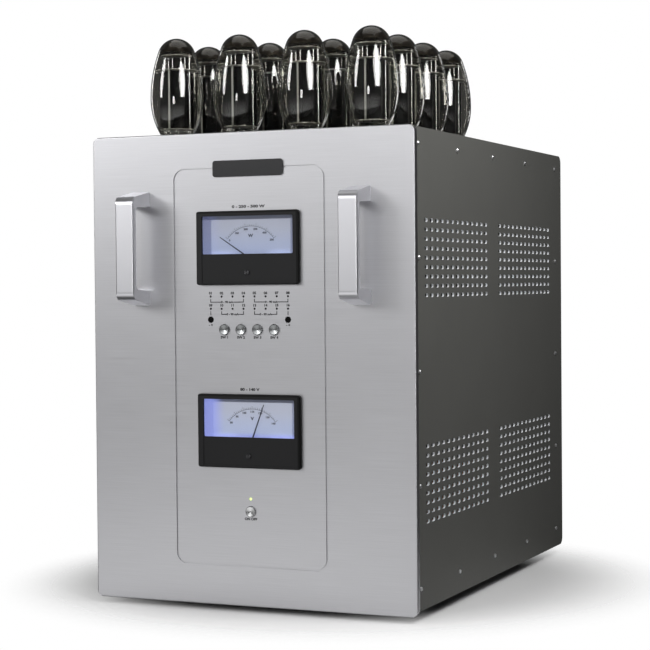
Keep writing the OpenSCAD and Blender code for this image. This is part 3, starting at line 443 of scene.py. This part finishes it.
def lit_lens(name, colour, strength):
    """Moulded lamp lens lit from behind: hot in the middle, deeper in colour towards its rim."""
    made, tree, shader, where = new_material(name, colour, 0.25)
    rim = add(tree, "ShaderNodeLayerWeight", {"Blend": 0.4})
    hot = rgba([c + (1 - c) * 0.45 for c in colour])
    tones = {"Factor": rim.outputs["Facing"], "A": hot, "B": rgba(colour)}
    heat = add(tree, "ShaderNodeMix", tones, data_type="RGBA")
    grain = add(tree, "ShaderNodeTexNoise", {"Vector": where, "Scale": 2500.0})
    bump = add(tree, "ShaderNodeBump", {"Height": grain, "Strength": 0.1, "Distance": 0.0001})
    feed(tree, shader, {"Emission Color": heat, "Emission Strength": strength, "Normal": bump})
    return made


def banded(name, colour_a, colour_b, axis, pitch_mm, roughness, metallic):
    """Stacked or wound metal: thin layers side by side along one axis."""
    made, tree, shader, where = new_material(name, colour_a, roughness, metallic)
    layers = 1000 / pitch_mm / 20
    wave = {"Vector": where, "Scale": layers, "Distortion": 0.4, "Detail": 1.0}
    bands = add(tree, "ShaderNodeTexWave", wave, bands_direction=axis)
    tones = {"Factor": bands.outputs["Fac"], "A": rgba(colour_a), "B": rgba(colour_b)}
    tone = add(tree, "ShaderNodeMix", tones, data_type="RGBA")
    height = {"Height": bands.outputs["Fac"], "Strength": 0.4, "Distance": pitch_mm * MM / 3}
    feed(tree, shader, {"Base Color": tone, "Normal": add(tree, "ShaderNodeBump", height)})
    return made


def circuit_board(name):
    """Epoxy glass board under green resist, with a loose net of tracks just showing."""
    made, tree, shader, where = new_material(name, linear("#1F4B2E"), 0.4)
    cells = {"Vector": where, "Scale": 60.0, "Mortar Size": 0.06}
    net = add(tree, "ShaderNodeTexBrick", cells)
    tones = {"Factor": net.outputs["Fac"], "A": paint("#1F4B2E"), "B": paint("#3C7A4A")}
    feed(tree, shader, {"Base Color": add(tree, "ShaderNodeMix", tones, data_type="RGBA")})
    return made


# Modelling steps


def mode(name):
    bpy.ops.object.mode_set(mode=name)


def extrude(by):
    """Extrudes what is selected by this much."""
    bpy.ops.mesh.extrude_region_move(TRANSFORM_OT_translate={"value": by})


def start():
    """Leaves edit mode and deselects everything, so that an operator acts on the new piece alone."""
    if bpy.context.object and bpy.context.object.mode != "OBJECT":
        mode("OBJECT")
    bpy.ops.object.select_all(action="DESELECT")


def join(made):
    """Joins objects into the first one."""
    start()
    for each in made:
        each.select_set(True)
    bpy.context.view_layer.objects.active = made[0]
    if len(made) > 1:
        bpy.ops.object.join()
    bpy.ops.object.transform_apply()
    return made[0]


def settle(piece, name, body, material):
    """Names a finished piece, gives it its material, and lets it ride on its body."""
    piece.name = name
    piece.data.name = name
    piece.data.materials.clear()
    piece.data.materials.append(material)
    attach(piece, body)


def figure(words, height, x, y, z, turn=0.0, wide=1.12):
    """Raised printed figures, upright on a face that looks along -Y, or along +Y with a half turn."""
    body, weight = 1.4, 0.075  # the font's size and how much bolder it is, as shares of the height
    start()
    bpy.ops.object.text_add(location=(0, 0, 0))
    made = bpy.context.object
    made.data.body = words
    made.data.size = height * body
    made.data.align_x = "CENTER"
    made.data.align_y = "CENTER"
    made.data.offset = height * weight
    made.data.extrude = sizes().ink / 2
    made.data.resolution_u = 3
    bpy.ops.object.convert(target="MESH")
    made = bpy.context.object
    made.scale = (wide, 1, 1)
    made.rotation_euler = (math.pi / 2, 0, turn)
    made.location = (x, y, z)
    bpy.ops.object.transform_apply()
    return made


def stroke(x0, z0, x1, z1, y, width):
    """A printed straight line between two points of a face that looks along -Y."""
    start()
    run, rise = x1 - x0, z1 - z0
    bpy.ops.mesh.primitive_cube_add(size=1, location=((x0 + x1) / 2, y, (z0 + z1) / 2))
    made = bpy.context.object
    made.scale = (math.hypot(run, rise) + width, sizes().ink, width)
    made.rotation_euler = (0, -math.atan2(rise, run), 0)
    bpy.ops.object.transform_apply()
    return made


def arc(x, y, z, radius, width, low, high):
    """A printed arc about a point, from one angle to another, measured from upright."""
    start()
    bpy.ops.mesh.primitive_circle_add(
        vertices=160, radius=radius - width / 2, location=(x, y, z), rotation=(math.pi / 2, 0, 0)
    )
    made = bpy.context.object
    bpy.ops.object.transform_apply(location=False)
    mode("EDIT")
    bpy.ops.mesh.select_all(action="SELECT")
    bpy.ops.mesh.extrude_region()
    grow = (radius + width / 2) / (radius - width / 2)
    bpy.ops.transform.resize(value=(grow, 1, grow), center_override=(x, y, z))
    for a, side in ((low, 1), (high, -1)):
        bpy.ops.mesh.select_all(action="SELECT")
        bpy.ops.mesh.bisect(
            plane_co=(x, y, z),
            plane_no=(side * math.cos(a), 0, -side * math.sin(a)),
            clear_inner=True,
        )
    mode("OBJECT")
    thick = made.modifiers.new("thick", "SOLIDIFY")
    thick.thickness = sizes().ink
    thick.offset = 0
    bpy.ops.object.modifier_apply(modifier="thick")
    bpy.ops.object.transform_apply()
    return made


def copies(made, places):
    """Copies of a piece, each with its own mesh, at these places; the first is the piece itself."""
    out = [made]
    for _ in places[1:]:
        each = made.copy()
        each.data = made.data.copy()
        bpy.context.scene.collection.objects.link(each)
        out.append(each)
    for each, place in zip(out, places):
        each.location = place
    return join(out)


def at_tubes(z=0.0):
    """The same place in each output tube, at one height."""
    return [(x, y, z) for x in TUBE_X for y in TUBE_Y]


# Operators


class AMP_OT_stage(bpy.types.Operator):
    """Floor, light and camera"""

    bl_idname = "amp.stage"
    bl_label = "Stage"

    def execute(self, context):
        stage = context.scene.amp_stage
        context.scene.view_settings.view_transform = "Standard"
        start()
        bpy.ops.mesh.primitive_grid_add(x_subdivisions=16, y_subdivisions=16, size=6, location=(0, 0, 0))
        floor = context.object
        floor.name = "floor"
        bpy.ops.object.transform_apply()
        floor.data.materials.append(self.floor_sheet())
        self.room(context)
        face = Vector((0, PLATE_FACE, 0))
        plate, glass = [NODES["faceplate"]], [NODES["tube_glass"]]
        panels = ("side_panel_left", "side_panel_right", "side_screws", "rear_panel")
        sides = [floor] + [NODES[name] for name in panels]
        rest = [each for each in context.scene.objects if each.type == "MESH" and each not in glass]
        rear = [NODES[name] for name in REAR_NODES]
        rear += [bpy.data.objects[name] for name in ("rear_screws", "fan_shade_discs", "rear_print")]
        # Name, place and aim in metres from the floor under the plate's face, width, height, watts,
        # and the pieces that it lights, where these aren't all
        for name, spot, aim, width, tall, watts, lit in (
            ("key_softbox", (-3.2, -3.1, 1.9), (0, 0, 0.46), 2.0, 1.6, stage.key, rest),
            ("side_softbox", (0.62, 0.01, 0.95), (0.18, 0.02, 0.6), 0.3, 0.5, stage.side, sides),
            ("right_strip", (0.95, -0.75, 1.05), (0.1, 0.05, 0.9), 0.34, 0.8, stage.strip, None),
            ("front_round", (0.42, -2.25, 0.5), (0, 0, 0.5), 0.4, 0.5, stage.front, None),
            ("front_card", (-1.33, -3.23, 1.63), (0, 0, 0.4), 4.6, 2.2, stage.card, rest),
            ("front_fill", (0.0, -1.2, 0.8), (0.12, 0, 0.4), 0.5, 0.5, stage.fill, rest),
            ("top_softbox", (0.0, 0.3, 2.6), (0, 0.25, 0.5), 2.4, 2.4, stage.top, None),
            ("foot_bounce", (-0.55, -1.15, -0.2), (0, 0, 0.03), 1.4, 0.3, stage.foot, plate),
            ("rear_softbox", (0.9, 3.1, 1.6), (0, 0.5, 0.3), 2.0, 2.0, stage.rear, rear),
            ("tube_right", (0.95, -0.75, 1.05), (0, 0.12, 0.6), 0.7, 0.85, stage.tube, glass),
            ("tube_left", (-1.4, -1.2, 1.2), (0, 0.12, 0.6), 0.5, 1.0, stage.tube, glass),
            ("rim_right", (0.7, 1.99, 0.75), (0, 0.12, 0.55), 0.34, 1.2, stage.rim, glass),
            ("rim_left", (-1.85, 0.89, 0.75), (0, 0.12, 0.55), 0.34, 1.2, stage.rim, glass),
        ):
            spot, aim = Vector(spot) + face, Vector(aim) + face
            bpy.ops.object.light_add(type="AREA", location=spot)
            lamp = context.object
            lamp.name = name
            lamp.data.shape = "RECTANGLE" if name == "top_softbox" else "ELLIPSE"
            lamp.data.size = width
            lamp.data.size_y = tall
            lamp.data.energy = watts
            lamp.rotation_euler = (spot - aim).to_track_quat("Z", "Y").to_euler()
            if lit:
                # Kept off the other pieces, as a flag or a grid does in a studio
                lamp.light_linking.receiver_collection = bpy.data.collections.new(name)
                for each in lit:
                    lamp.light_linking.receiver_collection.objects.link(each)
        self.camera(context, stage.lens)
        return {"FINISHED"}

    def floor_sheet(self):
        """White paper that runs out into the white room."""
        made = grained("white_paper", linear("#DEDEDE"), 0.85, 4.0, 0.01, spread=0.01)
        tree, paper, place = nodes_of(made)
        away = add(tree, "ShaderNodeVectorMath", {0: place.outputs["Object"]}, operation="LENGTH")
        span = {"Value": away, "From Min": 0.22, "From Max": 0.4, "To Min": 1.0, "To Max": 0.0}
        feed(tree, paper, {"Alpha": add(tree, "ShaderNodeMapRange", span, **SMOOTH)})
        return made

    def room(self, context):
        """A dim room with pale paper below, and white paper that fills the picture."""
        world = bpy.data.worlds.new("studio")
        context.scene.world = world
        world.use_nodes = True
        tree = world.node_tree
        ground = tree.nodes["Background"]
        way = add(tree, "ShaderNodeTexCoord")
        part = add(tree, "ShaderNodeSeparateXYZ", {"Vector": way.outputs["Generated"]})
        span = {"Value": part.outputs["Y"], "From Min": -0.75, "From Max": -0.3, "To Min": 1.0, "To Max": 0.0}
        front = add(tree, "ShaderNodeMapRange", span, **SMOOTH)
        span = {"Value": part.outputs["Z"], "From Min": -0.5, "From Max": 0.0, "To Min": 0.95, "To Max": 0.0}
        low = add(tree, "ShaderNodeMapRange", span, **SMOOTH)
        below = add(tree, "ShaderNodeMath", {0: front, 1: low}, operation="MULTIPLY")
        dim = add(tree, "ShaderNodeMath", {0: below, 1: 0.05}, operation="ADD")
        seen = add(tree, "ShaderNodeLightPath").outputs["Is Camera Ray"]
        bright = add(tree, "ShaderNodeMath", {0: seen, 1: dim}, operation="MAXIMUM")
        feed(tree, ground, {"Strength": bright, "Color": (1, 1, 1, 1)})

    def camera(self, context, lens):
        """The photograph's viewpoint: low, a little right of the front."""
        azimuth, elevation, roll = (math.radians(v) for v in (23.49, 1.341, -0.474))
        eye = (0.8188, -1.92825, 0.3419)
        level = Vector((math.sin(azimuth), -math.cos(azimuth), 0))
        back = level * math.cos(elevation) + Vector((0, 0, math.sin(elevation)))
        right = Vector((math.cos(azimuth), math.sin(azimuth), 0))
        up = back.cross(right)
        tilted = right * math.cos(roll) + up * math.sin(roll)
        upright = up * math.cos(roll) - right * math.sin(roll)
        data = bpy.data.cameras.new("camera")
        data.lens = lens
        data.sensor_width = 36
        made = bpy.data.objects.new("camera", data)
        context.scene.collection.objects.link(made)
        turn = Matrix((tilted, upright, back)).transposed()
        made.matrix_world = Matrix.Translation(eye) @ turn.to_4x4()
        context.scene.camera = made


class AMP_OT_case_finishes(bpy.types.Operator):
    """Finishes of the plate, its controls, handles, panels, screws and feet"""

    bl_idname = "amp.case_finishes"
    bl_label = "Case finishes"

    def execute(self, context):
        c = colours()
        dress(brushed_aluminium("brushed_anodised_aluminium", c.plate, 0.36, 60, 0.7), "faceplate")
        satin = grained("satin_aluminium", c.handle, 0.32, 0.25, 0.08, 1.0, 0.02)
        dress(satin, "handle_left", "handle_right")
        dress(powder_coat("satin_powder_coat", c.panel), "side_panel_left", "side_panel_right")
        pitch = middle("button_2").x - middle("button_1").x
        dress(spun_aluminium("turned_aluminium", linear("#9EA0A1"), middle("button_3"), pitch), *BUTTONS)
        power = spun_aluminium("turned_aluminium_power", linear("#D9DADB"), middle("power_button"))
        dress(power, "power_button")
        for name in ("zero_screw_upper", "zero_screw_lower"):
            dress(spun_aluminium(f"turned_{name}", linear("#6A6A6C"), middle(name)), name)
        matt = grained("matt_black_nylon", linear("#060606"), 0.7, 0.4, 0.1)
        feed(*nodes_of(matt)[:2], {"Specular IOR Level": 0.1})
        dress(matt, "trimmer_left", "trimmer_right")
        dress(lit_lens("lit_lamp_epoxy", c.lamp, 0.9), "power_lamp")
        dress_plainly(
            ("bright_zinc_steel", "#EDEDEF", 0.35, 0.3, 0.05, 1, "side_screws", "handle_bolts"),
            ("gloss_black_lacquer", "#1B1B1D", 0.22, 0.6, 0.03, 0, "badge_plate"),
            ("black_anodised_bar", "#2A2A2C", 0.4, 0.3, 0.1, 0.7, "chassis_frame"),
            ("black_painted_sheet", "#323234", 0.5, 0.6, 0.15, 0, "top_deck", "bottom_pan", "rear_panel"),
            ("moulded_rubber", "#121212", 0.8, 0.5, 0.3, 0, "feet"),
            ("moulded_black_acetal", "#101011", 0.35, 0.3, 0.1, 0, "switch_bodies"),
            ("unlit_lamp_epoxy", "#0B0B0C", 0.2, 0.4, 0.03, 0, "bias_lamps"),
        )
        return {"FINISHED"}


class AMP_OT_meter_finishes(bpy.types.Operator):
    """Finishes of the two panel meters"""

    bl_idname = "amp.meter_finishes"
    bl_label = "Meter finishes"

    def execute(self, context):
        pane = clear_glass("meter_acrylic", linear("#F6F8FC"), 0.0, 1.49)
        needle = grained("painted_needle", linear("#34344A"), 0.4, 0.2, 0.03)
        magnet = grained("plated_magnet_steel", linear("#77777A"), 0.4, 0.4, 0.1, 1.0)
        # Each dial's tint sets how blue and strong its painted lamp glow is
        for (which, centre), tint in zip(METERS.items(), (0.15, 0.8)):
            case = f"meter_case_{which}"
            dress(moulded_bezel(f"moulded_abs_{which}", colours().bezel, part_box(case)[1]), case)
            dress(pane, f"meter_window_{which}")
            dress(lit_card(f"dial_card_painted_glow_{which}", centre, tint), f"meter_dial_{which}")
            dress(needle, f"needle_{which}")
            dress(magnet, f"meter_movement_{which}")
        dress(lit_lens("lit_lamp_white", linear("#D8DEFF"), 2.5), "meter_lamps")
        return {"FINISHED"}


class AMP_OT_tube_finishes(bpy.types.Operator):
    """Finishes of the output tubes and their sockets"""

    bl_idname = "amp.tube_finishes"
    bl_label = "Tube finishes"

    def execute(self, context):
        dress(clear_glass("blown_tube_glass", linear("#F2F1EC")), "tube_glass")
        dress(clear_glass("clear_tube_glass", linear("#F4F6F6")), "driver_tubes")
        dress(carbonised_nickel("carbonised_nickel", linear("#121213")), "tube_anodes")
        dress(mica_sheet("mica_sheet"), "tube_micas")
        dress_plainly(
            ("nickel_wire", "#C9C9CA", 0.22, 0.3, 0.05, 1, "tube_rods"),
            ("moulded_phenolic", "#171616", 0.3, 0.5, 0.06, 0, "tube_bases"),
            ("white_ceramic", "#E3DFD3", 0.5, 0.6, 0.1, 0, "tube_sockets"),
        )
        return {"FINISHED"}


class AMP_OT_inside_finishes(bpy.types.Operator):
    """Finishes of the parts inside the case and on its rear"""

    bl_idname = "amp.inside_finishes"
    bl_label = "Inside and rear finishes"

    def execute(self, context):
        dress(circuit_board("green_epoxy_board"), "control_boards", "tube_board", "main_board")
        core = banded("laminated_core_steel", linear("#4A4A4E"), linear("#5E5E63"), "Y", 1.2, 0.45, 0.9)
        dress(core, "transformer_cores")
        wire = banded("varnished_copper_wire", linear("#7A3F1B"), linear("#A65C2B"), "Z", 1.6, 0.3, 0.8)
        dress(wire, "transformer_coils")
        dress_plainly(
            ("sleeved_can", "#26304B", 0.35, 0.8, 0.04, 0, "filter_capacitors"),
            ("moulded_fan_plastic", "#191919", 0.45, 0.4, 0.12, 0, "fan_frames", *FAN_ROTORS),
            ("plated_guard_wire", "#B4B4B7", 0.25, 0.4, 0.05, 1, "fan_guards"),
            ("moulded_nylon_black", "#131314", 0.4, 0.4, 0.1, 0, "mains_inlet"),
            ("nickel_plated_zinc", "#A9A9AC", 0.3, 0.4, 0.05, 1, "input_socket"),
            ("gold_plated_brass", "#C9A24C", 0.22, 0.3, 0.03, 1, "speaker_posts"),
            ("moulded_cap_black", "#161616", 0.3, 0.4, 0.06, 0, POST_CAPS[0]),
            ("moulded_cap_red", "#8F1F1B", 0.3, 0.4, 0.06, 0, *POST_CAPS[1:]),
        )
        return {"FINISHED"}


class AMP_OT_front_print(bpy.types.Operator):
    """Printed marks on the front plate"""

    bl_idname = "amp.front_print"
    bl_label = "Front print"

    # How far marks stand from the middles of lamps, trimmers and buttons, in metres
    OVER_LAMP, UNDER_LAMP, BRACKET, STUB = 0.0034, 0.003, 0.0058, 0.0064
    UNDER_TRIMMER, UNDER_BUTTON, UNDER_POWER = 0.0057, 0.0081, 0.0078
    # The captions' words, how far they stand over their meters, and how wide they are drawn
    CAPTIONS = {"upper": ("0 - 250 - 500 W", 0.00425, 1.5), "lower": ("80 - 140 V", 0.00475, 1.35)}

    def execute(self, context):
        s = sizes()
        y = PLATE_FACE - s.ink / 2
        made = []
        for k in range(8):
            for row, first in zip(LAMP_ROWS, (1, 9)):
                x = (k - 3.5) * LAMP_PITCH
                made.append(figure(f"{k + first:02d}", s.label, x, y, row + self.OVER_LAMP))
        for side, name in ((-1, "trimmer_left"), (1, "trimmer_right")):
            for inner, row in enumerate(LAMP_ROWS):
                made += self.bracket(side, row, inner, y)
            x = side * 3.5 * LAMP_PITCH
            made.append(stroke(x, row - self.STUB, x, row - self.UNDER_LAMP, y, s.line))
            made.append(figure("- +", s.label, x, y, middle(name).z - self.UNDER_TRIMMER))
        for k, name in enumerate(BUTTONS):
            spot = middle(name)
            made.append(figure(f"SW {k + 1}", s.label, spot.x, y, spot.z - self.UNDER_BUTTON))
        made.append(figure("ON OFF", s.label, 0, y, middle("power_button").z - self.UNDER_POWER))
        for which, (words, gap, wide) in self.CAPTIONS.items():
            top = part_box(f"meter_case_{which}")[1].z
            made.append(figure(words, s.caption, 0, y, top + gap, wide=wide))
        ink = grained("screen_ink_black", colours().ink, 0.5, 0.2, 0.05)
        settle(join(made), "front_print", "case", ink)
        return {"FINISHED"}

    def bracket(self, side, row, inner, y):
        """A line under a group of lamps with a tick at each end, broken for its unit."""
        s = sizes()
        near, far = 0.5 * LAMP_PITCH, (3.5 - inner) * LAMP_PITCH
        low, high = row - self.BRACKET, row - self.UNDER_LAMP
        mid = (near + far) / 2
        clear = 0.0072
        made = [figure("0 - 90 mA", s.label * 0.85, side * mid, y, low)]
        for end, stop in ((near, mid - clear), (far, mid + clear)):
            made.append(stroke(side * end, low, side * stop, low, y, s.line))
            made.append(stroke(side * end, low, side * end, high, y, s.line))
        return made


class AMP_OT_dial_print(bpy.types.Operator):
    """Printed scales on the dials"""

    bl_idname = "amp.dial_print"
    bl_label = "Dial print"

    MARKS = {"upper": range(0, 501, 100), "lower": range(80, 141, 10)}
    UNITS = {"upper": "W", "lower": "V"}
    # The card under the plate's face, the needle's pivot and the unit off the meter's middle, in metres
    CARD_DEPTH, PIVOT, UNIT = 0.006, -0.011, 0.0125
    UNIT_HEIGHT, FIGURE_HEIGHT, FIGURE_GAP = 0.0032, 0.002, 0.0028
    LONG_TICK, SHORT_TICK = 0.003, 0.0016
    REACH = math.radians(52)

    def execute(self, context):
        ink = grained("dial_ink_grey", linear("#55586A"), 0.6, 0.2, 0.05)
        y = PLATE_FACE + self.CARD_DEPTH - sizes().ink / 2
        for which, centre in METERS.items():
            made = self.scale(y, centre + self.PIVOT, [str(v) for v in self.MARKS[which]])
            made.append(figure(self.UNITS[which], self.UNIT_HEIGHT, 0, y, centre + self.UNIT))
            settle(join(made), f"dial_print_{which}", "case", ink)
        return {"FINISHED"}

    def scale(self, y, pivot, words):
        """The arc, its ticks and the figures under it."""
        r, thin = sizes().scale_r, sizes().hairline
        made = [arc(0, y, pivot, r, thin, -self.REACH, self.REACH)]
        steps = 5 * (len(words) - 1)
        for k in range(steps + 1):
            outer = r + (self.SHORT_TICK if k % 5 else self.LONG_TICK)
            x, z = self.way(k / steps)
            made.append(stroke(r * x, pivot + r * z, outer * x, pivot + outer * z, y, thin))
        inner = r - self.FIGURE_GAP
        for k, word in enumerate(words):
            x, z = self.way(k / (len(words) - 1))
            made.append(figure(word, self.FIGURE_HEIGHT, inner * x, y, pivot + inner * z))
        return made

    def way(self, share):
        """The direction from the pivot to a share of the scale."""
        angle = self.REACH * (2 * share - 1)
        return math.sin(angle), math.cos(angle)


class AMP_OT_getter_mirrors(bpy.types.Operator):
    """Getter films inside the tops of the bulbs"""

    bl_idname = "amp.getter_mirrors"
    bl_label = "Getter mirrors"

    def execute(self, context):
        depth = sizes().getter
        # The bulb's side arc, its wall with a hair of air, and its widest place under the top
        side, wall, widest = 0.15, 0.0012 + 0.00006, 0.0655
        dome = (2 * side * BULB_R - BULB_R**2 - widest**2) / (2 * (side - widest))
        joint = -widest + (widest - dome) * side / (side - dome)

        def reach(z):
            """The film's radius at a height under the top."""
            return BULB_R - side + math.sqrt((side - wall) ** 2 - (z + widest) ** 2)

        start()
        bpy.ops.mesh.primitive_uv_sphere_add(segments=48, ring_count=40, radius=dome - wall)
        film = context.object
        mode("EDIT")
        bpy.ops.mesh.select_all(action="SELECT")
        bpy.ops.mesh.bisect(plane_co=(0, 0, dome + joint), plane_no=(0, 0, 1), clear_inner=True)
        bpy.ops.mesh.select_all(action="DESELECT")
        bpy.ops.mesh.select_non_manifold()
        z = joint
        steps = 6
        drop = (joint + depth) / steps
        for _ in range(steps):
            grow = reach(z - drop) / reach(z)
            extrude((0, 0, -drop))
            bpy.ops.transform.resize(value=(grow, grow, 1), center_override=(0, 0, 0))
            z -= drop
        mode("OBJECT")
        bpy.ops.object.shade_smooth()
        look = getter_film("getter_metal_film", colours().getter, APEX - depth, 0.004)
        settle(copies(film, at_tubes(APEX - dome)), "getter_mirrors", "case", look)
        return {"FINISHED"}


class AMP_OT_tube_stems(bpy.types.Operator):
    """Lead wires that rise from each tube's base to its lower mica"""

    bl_idname = "amp.tube_stems"
    bl_label = "Tube stems"

    def execute(self, context):
        low, high = NECK + 0.0013, NECK + 0.0085
        radius, ring, stub, bend = sizes().wire / 2, 0.009, 0.002, 0.003
        count = 8
        wires = []
        for k in range(count):
            a = 2 * math.pi * (k + 0.5) / count
            way = Vector((math.cos(a), math.sin(a), 0))
            start()
            foot = way * ring + Vector((0, 0, low + stub / 2))
            bpy.ops.mesh.primitive_cylinder_add(vertices=8, radius=radius, depth=stub, location=foot)
            wire = context.object
            bpy.ops.object.transform_apply()
            mode("EDIT")
            bpy.ops.mesh.select_all(action="DESELECT")
            mode("OBJECT")
            for face in wire.data.polygons:
                face.select = face.normal.z > 0.9
            mode("EDIT")
            for step in (way * bend + Vector((0, 0, bend)), (0, 0, high - low - stub - bend)):
                extrude(step)
            mode("OBJECT")
            wires.append(wire)
        look = bpy.data.materials["nickel_wire"]
        settle(copies(join(wires), at_tubes()), "tube_stems", "case", look)
        return {"FINISHED"}


class AMP_OT_grid_radiators(bpy.types.Operator):
    """Blackened radiator sheets behind the grid posts of each tube"""

    bl_idname = "amp.grid_radiators"
    bl_label = "Grid radiators"

    def execute(self, context):
        wide, thick, tall, flange = 0.0236, 0.0008, 0.0136, 0.004
        behind, under_mica = 0.0034, 0.0014
        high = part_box("tube_micas")[1].z - under_mica
        start()
        bpy.ops.mesh.primitive_cube_add(size=1, location=(0, behind, high - tall / 2))
        sheet = context.object
        sheet.scale = (wide, thick, tall)
        bpy.ops.object.transform_apply()
        for face in sheet.data.polygons:
            face.select = abs(face.normal.x) > 0.9
        mode("EDIT")
        bpy.ops.mesh.select_mode(type="FACE")
        extrude((0, flange, 0))
        bpy.ops.mesh.select_all(action="SELECT")
        bpy.ops.mesh.normals_make_consistent(inside=False)
        bpy.ops.mesh.bevel(offset=0.0002, segments=1)
        mode("OBJECT")
        look = grained("blackened_copper", linear("#17110F"), 0.55, 0.6, 0.15, 0.4)
        settle(copies(sheet, at_tubes()), "grid_radiators", "case", look)
        return {"FINISHED"}


class AMP_OT_rear_fittings(bpy.types.Operator):
    """Screws, dark foam discs that keep the case's inside in shade, and printed figures on the rear panel"""

    bl_idname = "amp.rear_fittings"
    bl_label = "Rear fittings"

    def execute(self, context):
        s = sizes()
        low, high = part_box("rear_panel")
        inset, fan_hole = 0.009, 0.0525  # from the panel's sides, and from a fan's middle
        spots = [(x, z) for x in (low.x + inset, high.x - inset) for z in (0.045, 0.17, 0.28, 0.43)]
        for fan in (-1, 1):
            x, z = fan * self.fan_x(), middle("fan_frames").z
            spots += [(x + dx, z + dz) for dx in (-fan_hole, fan_hole) for dz in (-fan_hole, fan_hole)]
        screws = copies(self.screw(context, s.screw / 2), [(x, REAR_FACE, z) for x, z in spots])
        settle(screws, "rear_screws", "case", bpy.data.materials["bright_zinc_steel"])
        # Dark foam discs inside the fans: painted shade as dark pieces, keeping the case's inside dark
        foam = grained("open_cell_foam", linear("#101010"), 0.9, 1.2, 0.8)
        settle(self.filters(context), "fan_shade_discs", "case", foam)
        y = REAR_FACE + s.ink / 2
        tall, drop = 0.006, 0.0215
        made = []
        for word, cap in zip(("0", "4", "8", "16"), POST_CAPS):
            spot = middle(cap)
            made.append(figure(word, tall, spot.x, y, spot.z - drop, math.pi))
        light = grained("screen_ink_white", linear("#D8D8D4"), 0.6, 0.2, 0.05)
        settle(join(made), "rear_print", "case", light)
        return {"FINISHED"}

    def filters(self, context):
        """A dark foam disc on the inner side of each fan, with a rolled rim: a dark piece that stands in for
        shade, keeping the case's inside dark.
        """
        thick, gap = 0.003, 0.0001
        start()
        bpy.ops.mesh.primitive_cylinder_add(
            vertices=64, radius=0.0575, depth=thick, location=(0, 0, 0), rotation=(-math.pi / 2, 0, 0)
        )
        made = context.object
        bpy.ops.object.transform_apply()
        mode("EDIT")
        bpy.ops.mesh.select_all(action="SELECT")
        bpy.ops.mesh.bevel(offset=0.0008, segments=2)
        mode("OBJECT")
        bpy.ops.object.shade_smooth_by_angle(angle=math.radians(35))
        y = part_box("fan_frames")[0].y - thick / 2 - gap
        return copies(made, [(fan * self.fan_x(), y, middle("fan_frames").z) for fan in (-1, 1)])

    def fan_x(self):
        """How far a fan's middle is from the rear's: a fan is as wide as it is high."""
        low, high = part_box("fan_frames")
        return (high.x - low.x) / 2 - (high.z - low.z) / 2

    def screw(self, context, radius):
        """A button head with a round socket, standing on a face that looks along +Y."""
        tall, roll, socket = 0.0022, 0.0007, 0.0012
        start()
        bpy.ops.mesh.primitive_cylinder_add(
            vertices=24, radius=radius, depth=tall, location=(0, tall / 2, 0), rotation=(-math.pi / 2, 0, 0)
        )
        made = context.object
        bpy.ops.object.transform_apply()
        for face in made.data.polygons:
            face.select = face.normal.y > 0.9
        mode("EDIT")
        bpy.ops.mesh.select_mode(type="FACE")
        bpy.ops.mesh.bevel(offset=roll, segments=3)
        mode("OBJECT")
        for face in made.data.polygons:
            face.select = face.normal.y > 0.99 and face.center.y > 0.95 * tall
        mode("EDIT")
        bpy.ops.mesh.inset(thickness=radius * 0.35)
        extrude((0, -socket, 0))
        mode("OBJECT")
        bpy.ops.object.shade_smooth_by_angle(angle=math.radians(35))
        return made


STEPS = (
    AMP_OT_case_finishes,
    AMP_OT_meter_finishes,
    AMP_OT_tube_finishes,
    AMP_OT_inside_finishes,
    AMP_OT_front_print,
    AMP_OT_dial_print,
    AMP_OT_getter_mirrors,
    AMP_OT_tube_stems,
    AMP_OT_grid_radiators,
    AMP_OT_rear_fittings,
    AMP_OT_stage,
)


class AMP_PT_panel(bpy.types.Panel):
    """Lists the steps that dress the amplifier"""

    bl_idname = "AMP_PT_panel"
    bl_label = "Amplifier"
    bl_space_type = "VIEW_3D"
    bl_region_type = "UI"
    bl_category = "Amplifier"

    def draw(self, context):
        for step in STEPS:
            self.layout.operator(step.bl_idname)


CLASSES = (AmpColours, AmpSizes, AmpStage, *STEPS, AMP_PT_panel)


def register():
    for each in CLASSES:
        bpy.utils.register_class(each)
    bpy.types.Scene.amp_colours = PointerProperty(type=AmpColours)
    bpy.types.Scene.amp_sizes = PointerProperty(type=AmpSizes)
    bpy.types.Scene.amp_stage = PointerProperty(type=AmpStage)


def unregister():
    del bpy.types.Scene.amp_stage
    del bpy.types.Scene.amp_sizes
    del bpy.types.Scene.amp_colours
    for each in reversed(CLASSES):
        bpy.utils.unregister_class(each)


def main():
    register()
    for step in STEPS:
        group, name = step.bl_idname.split(".")
        getattr(getattr(bpy.ops, group), name)()


if __name__ == "__main__":
    main()
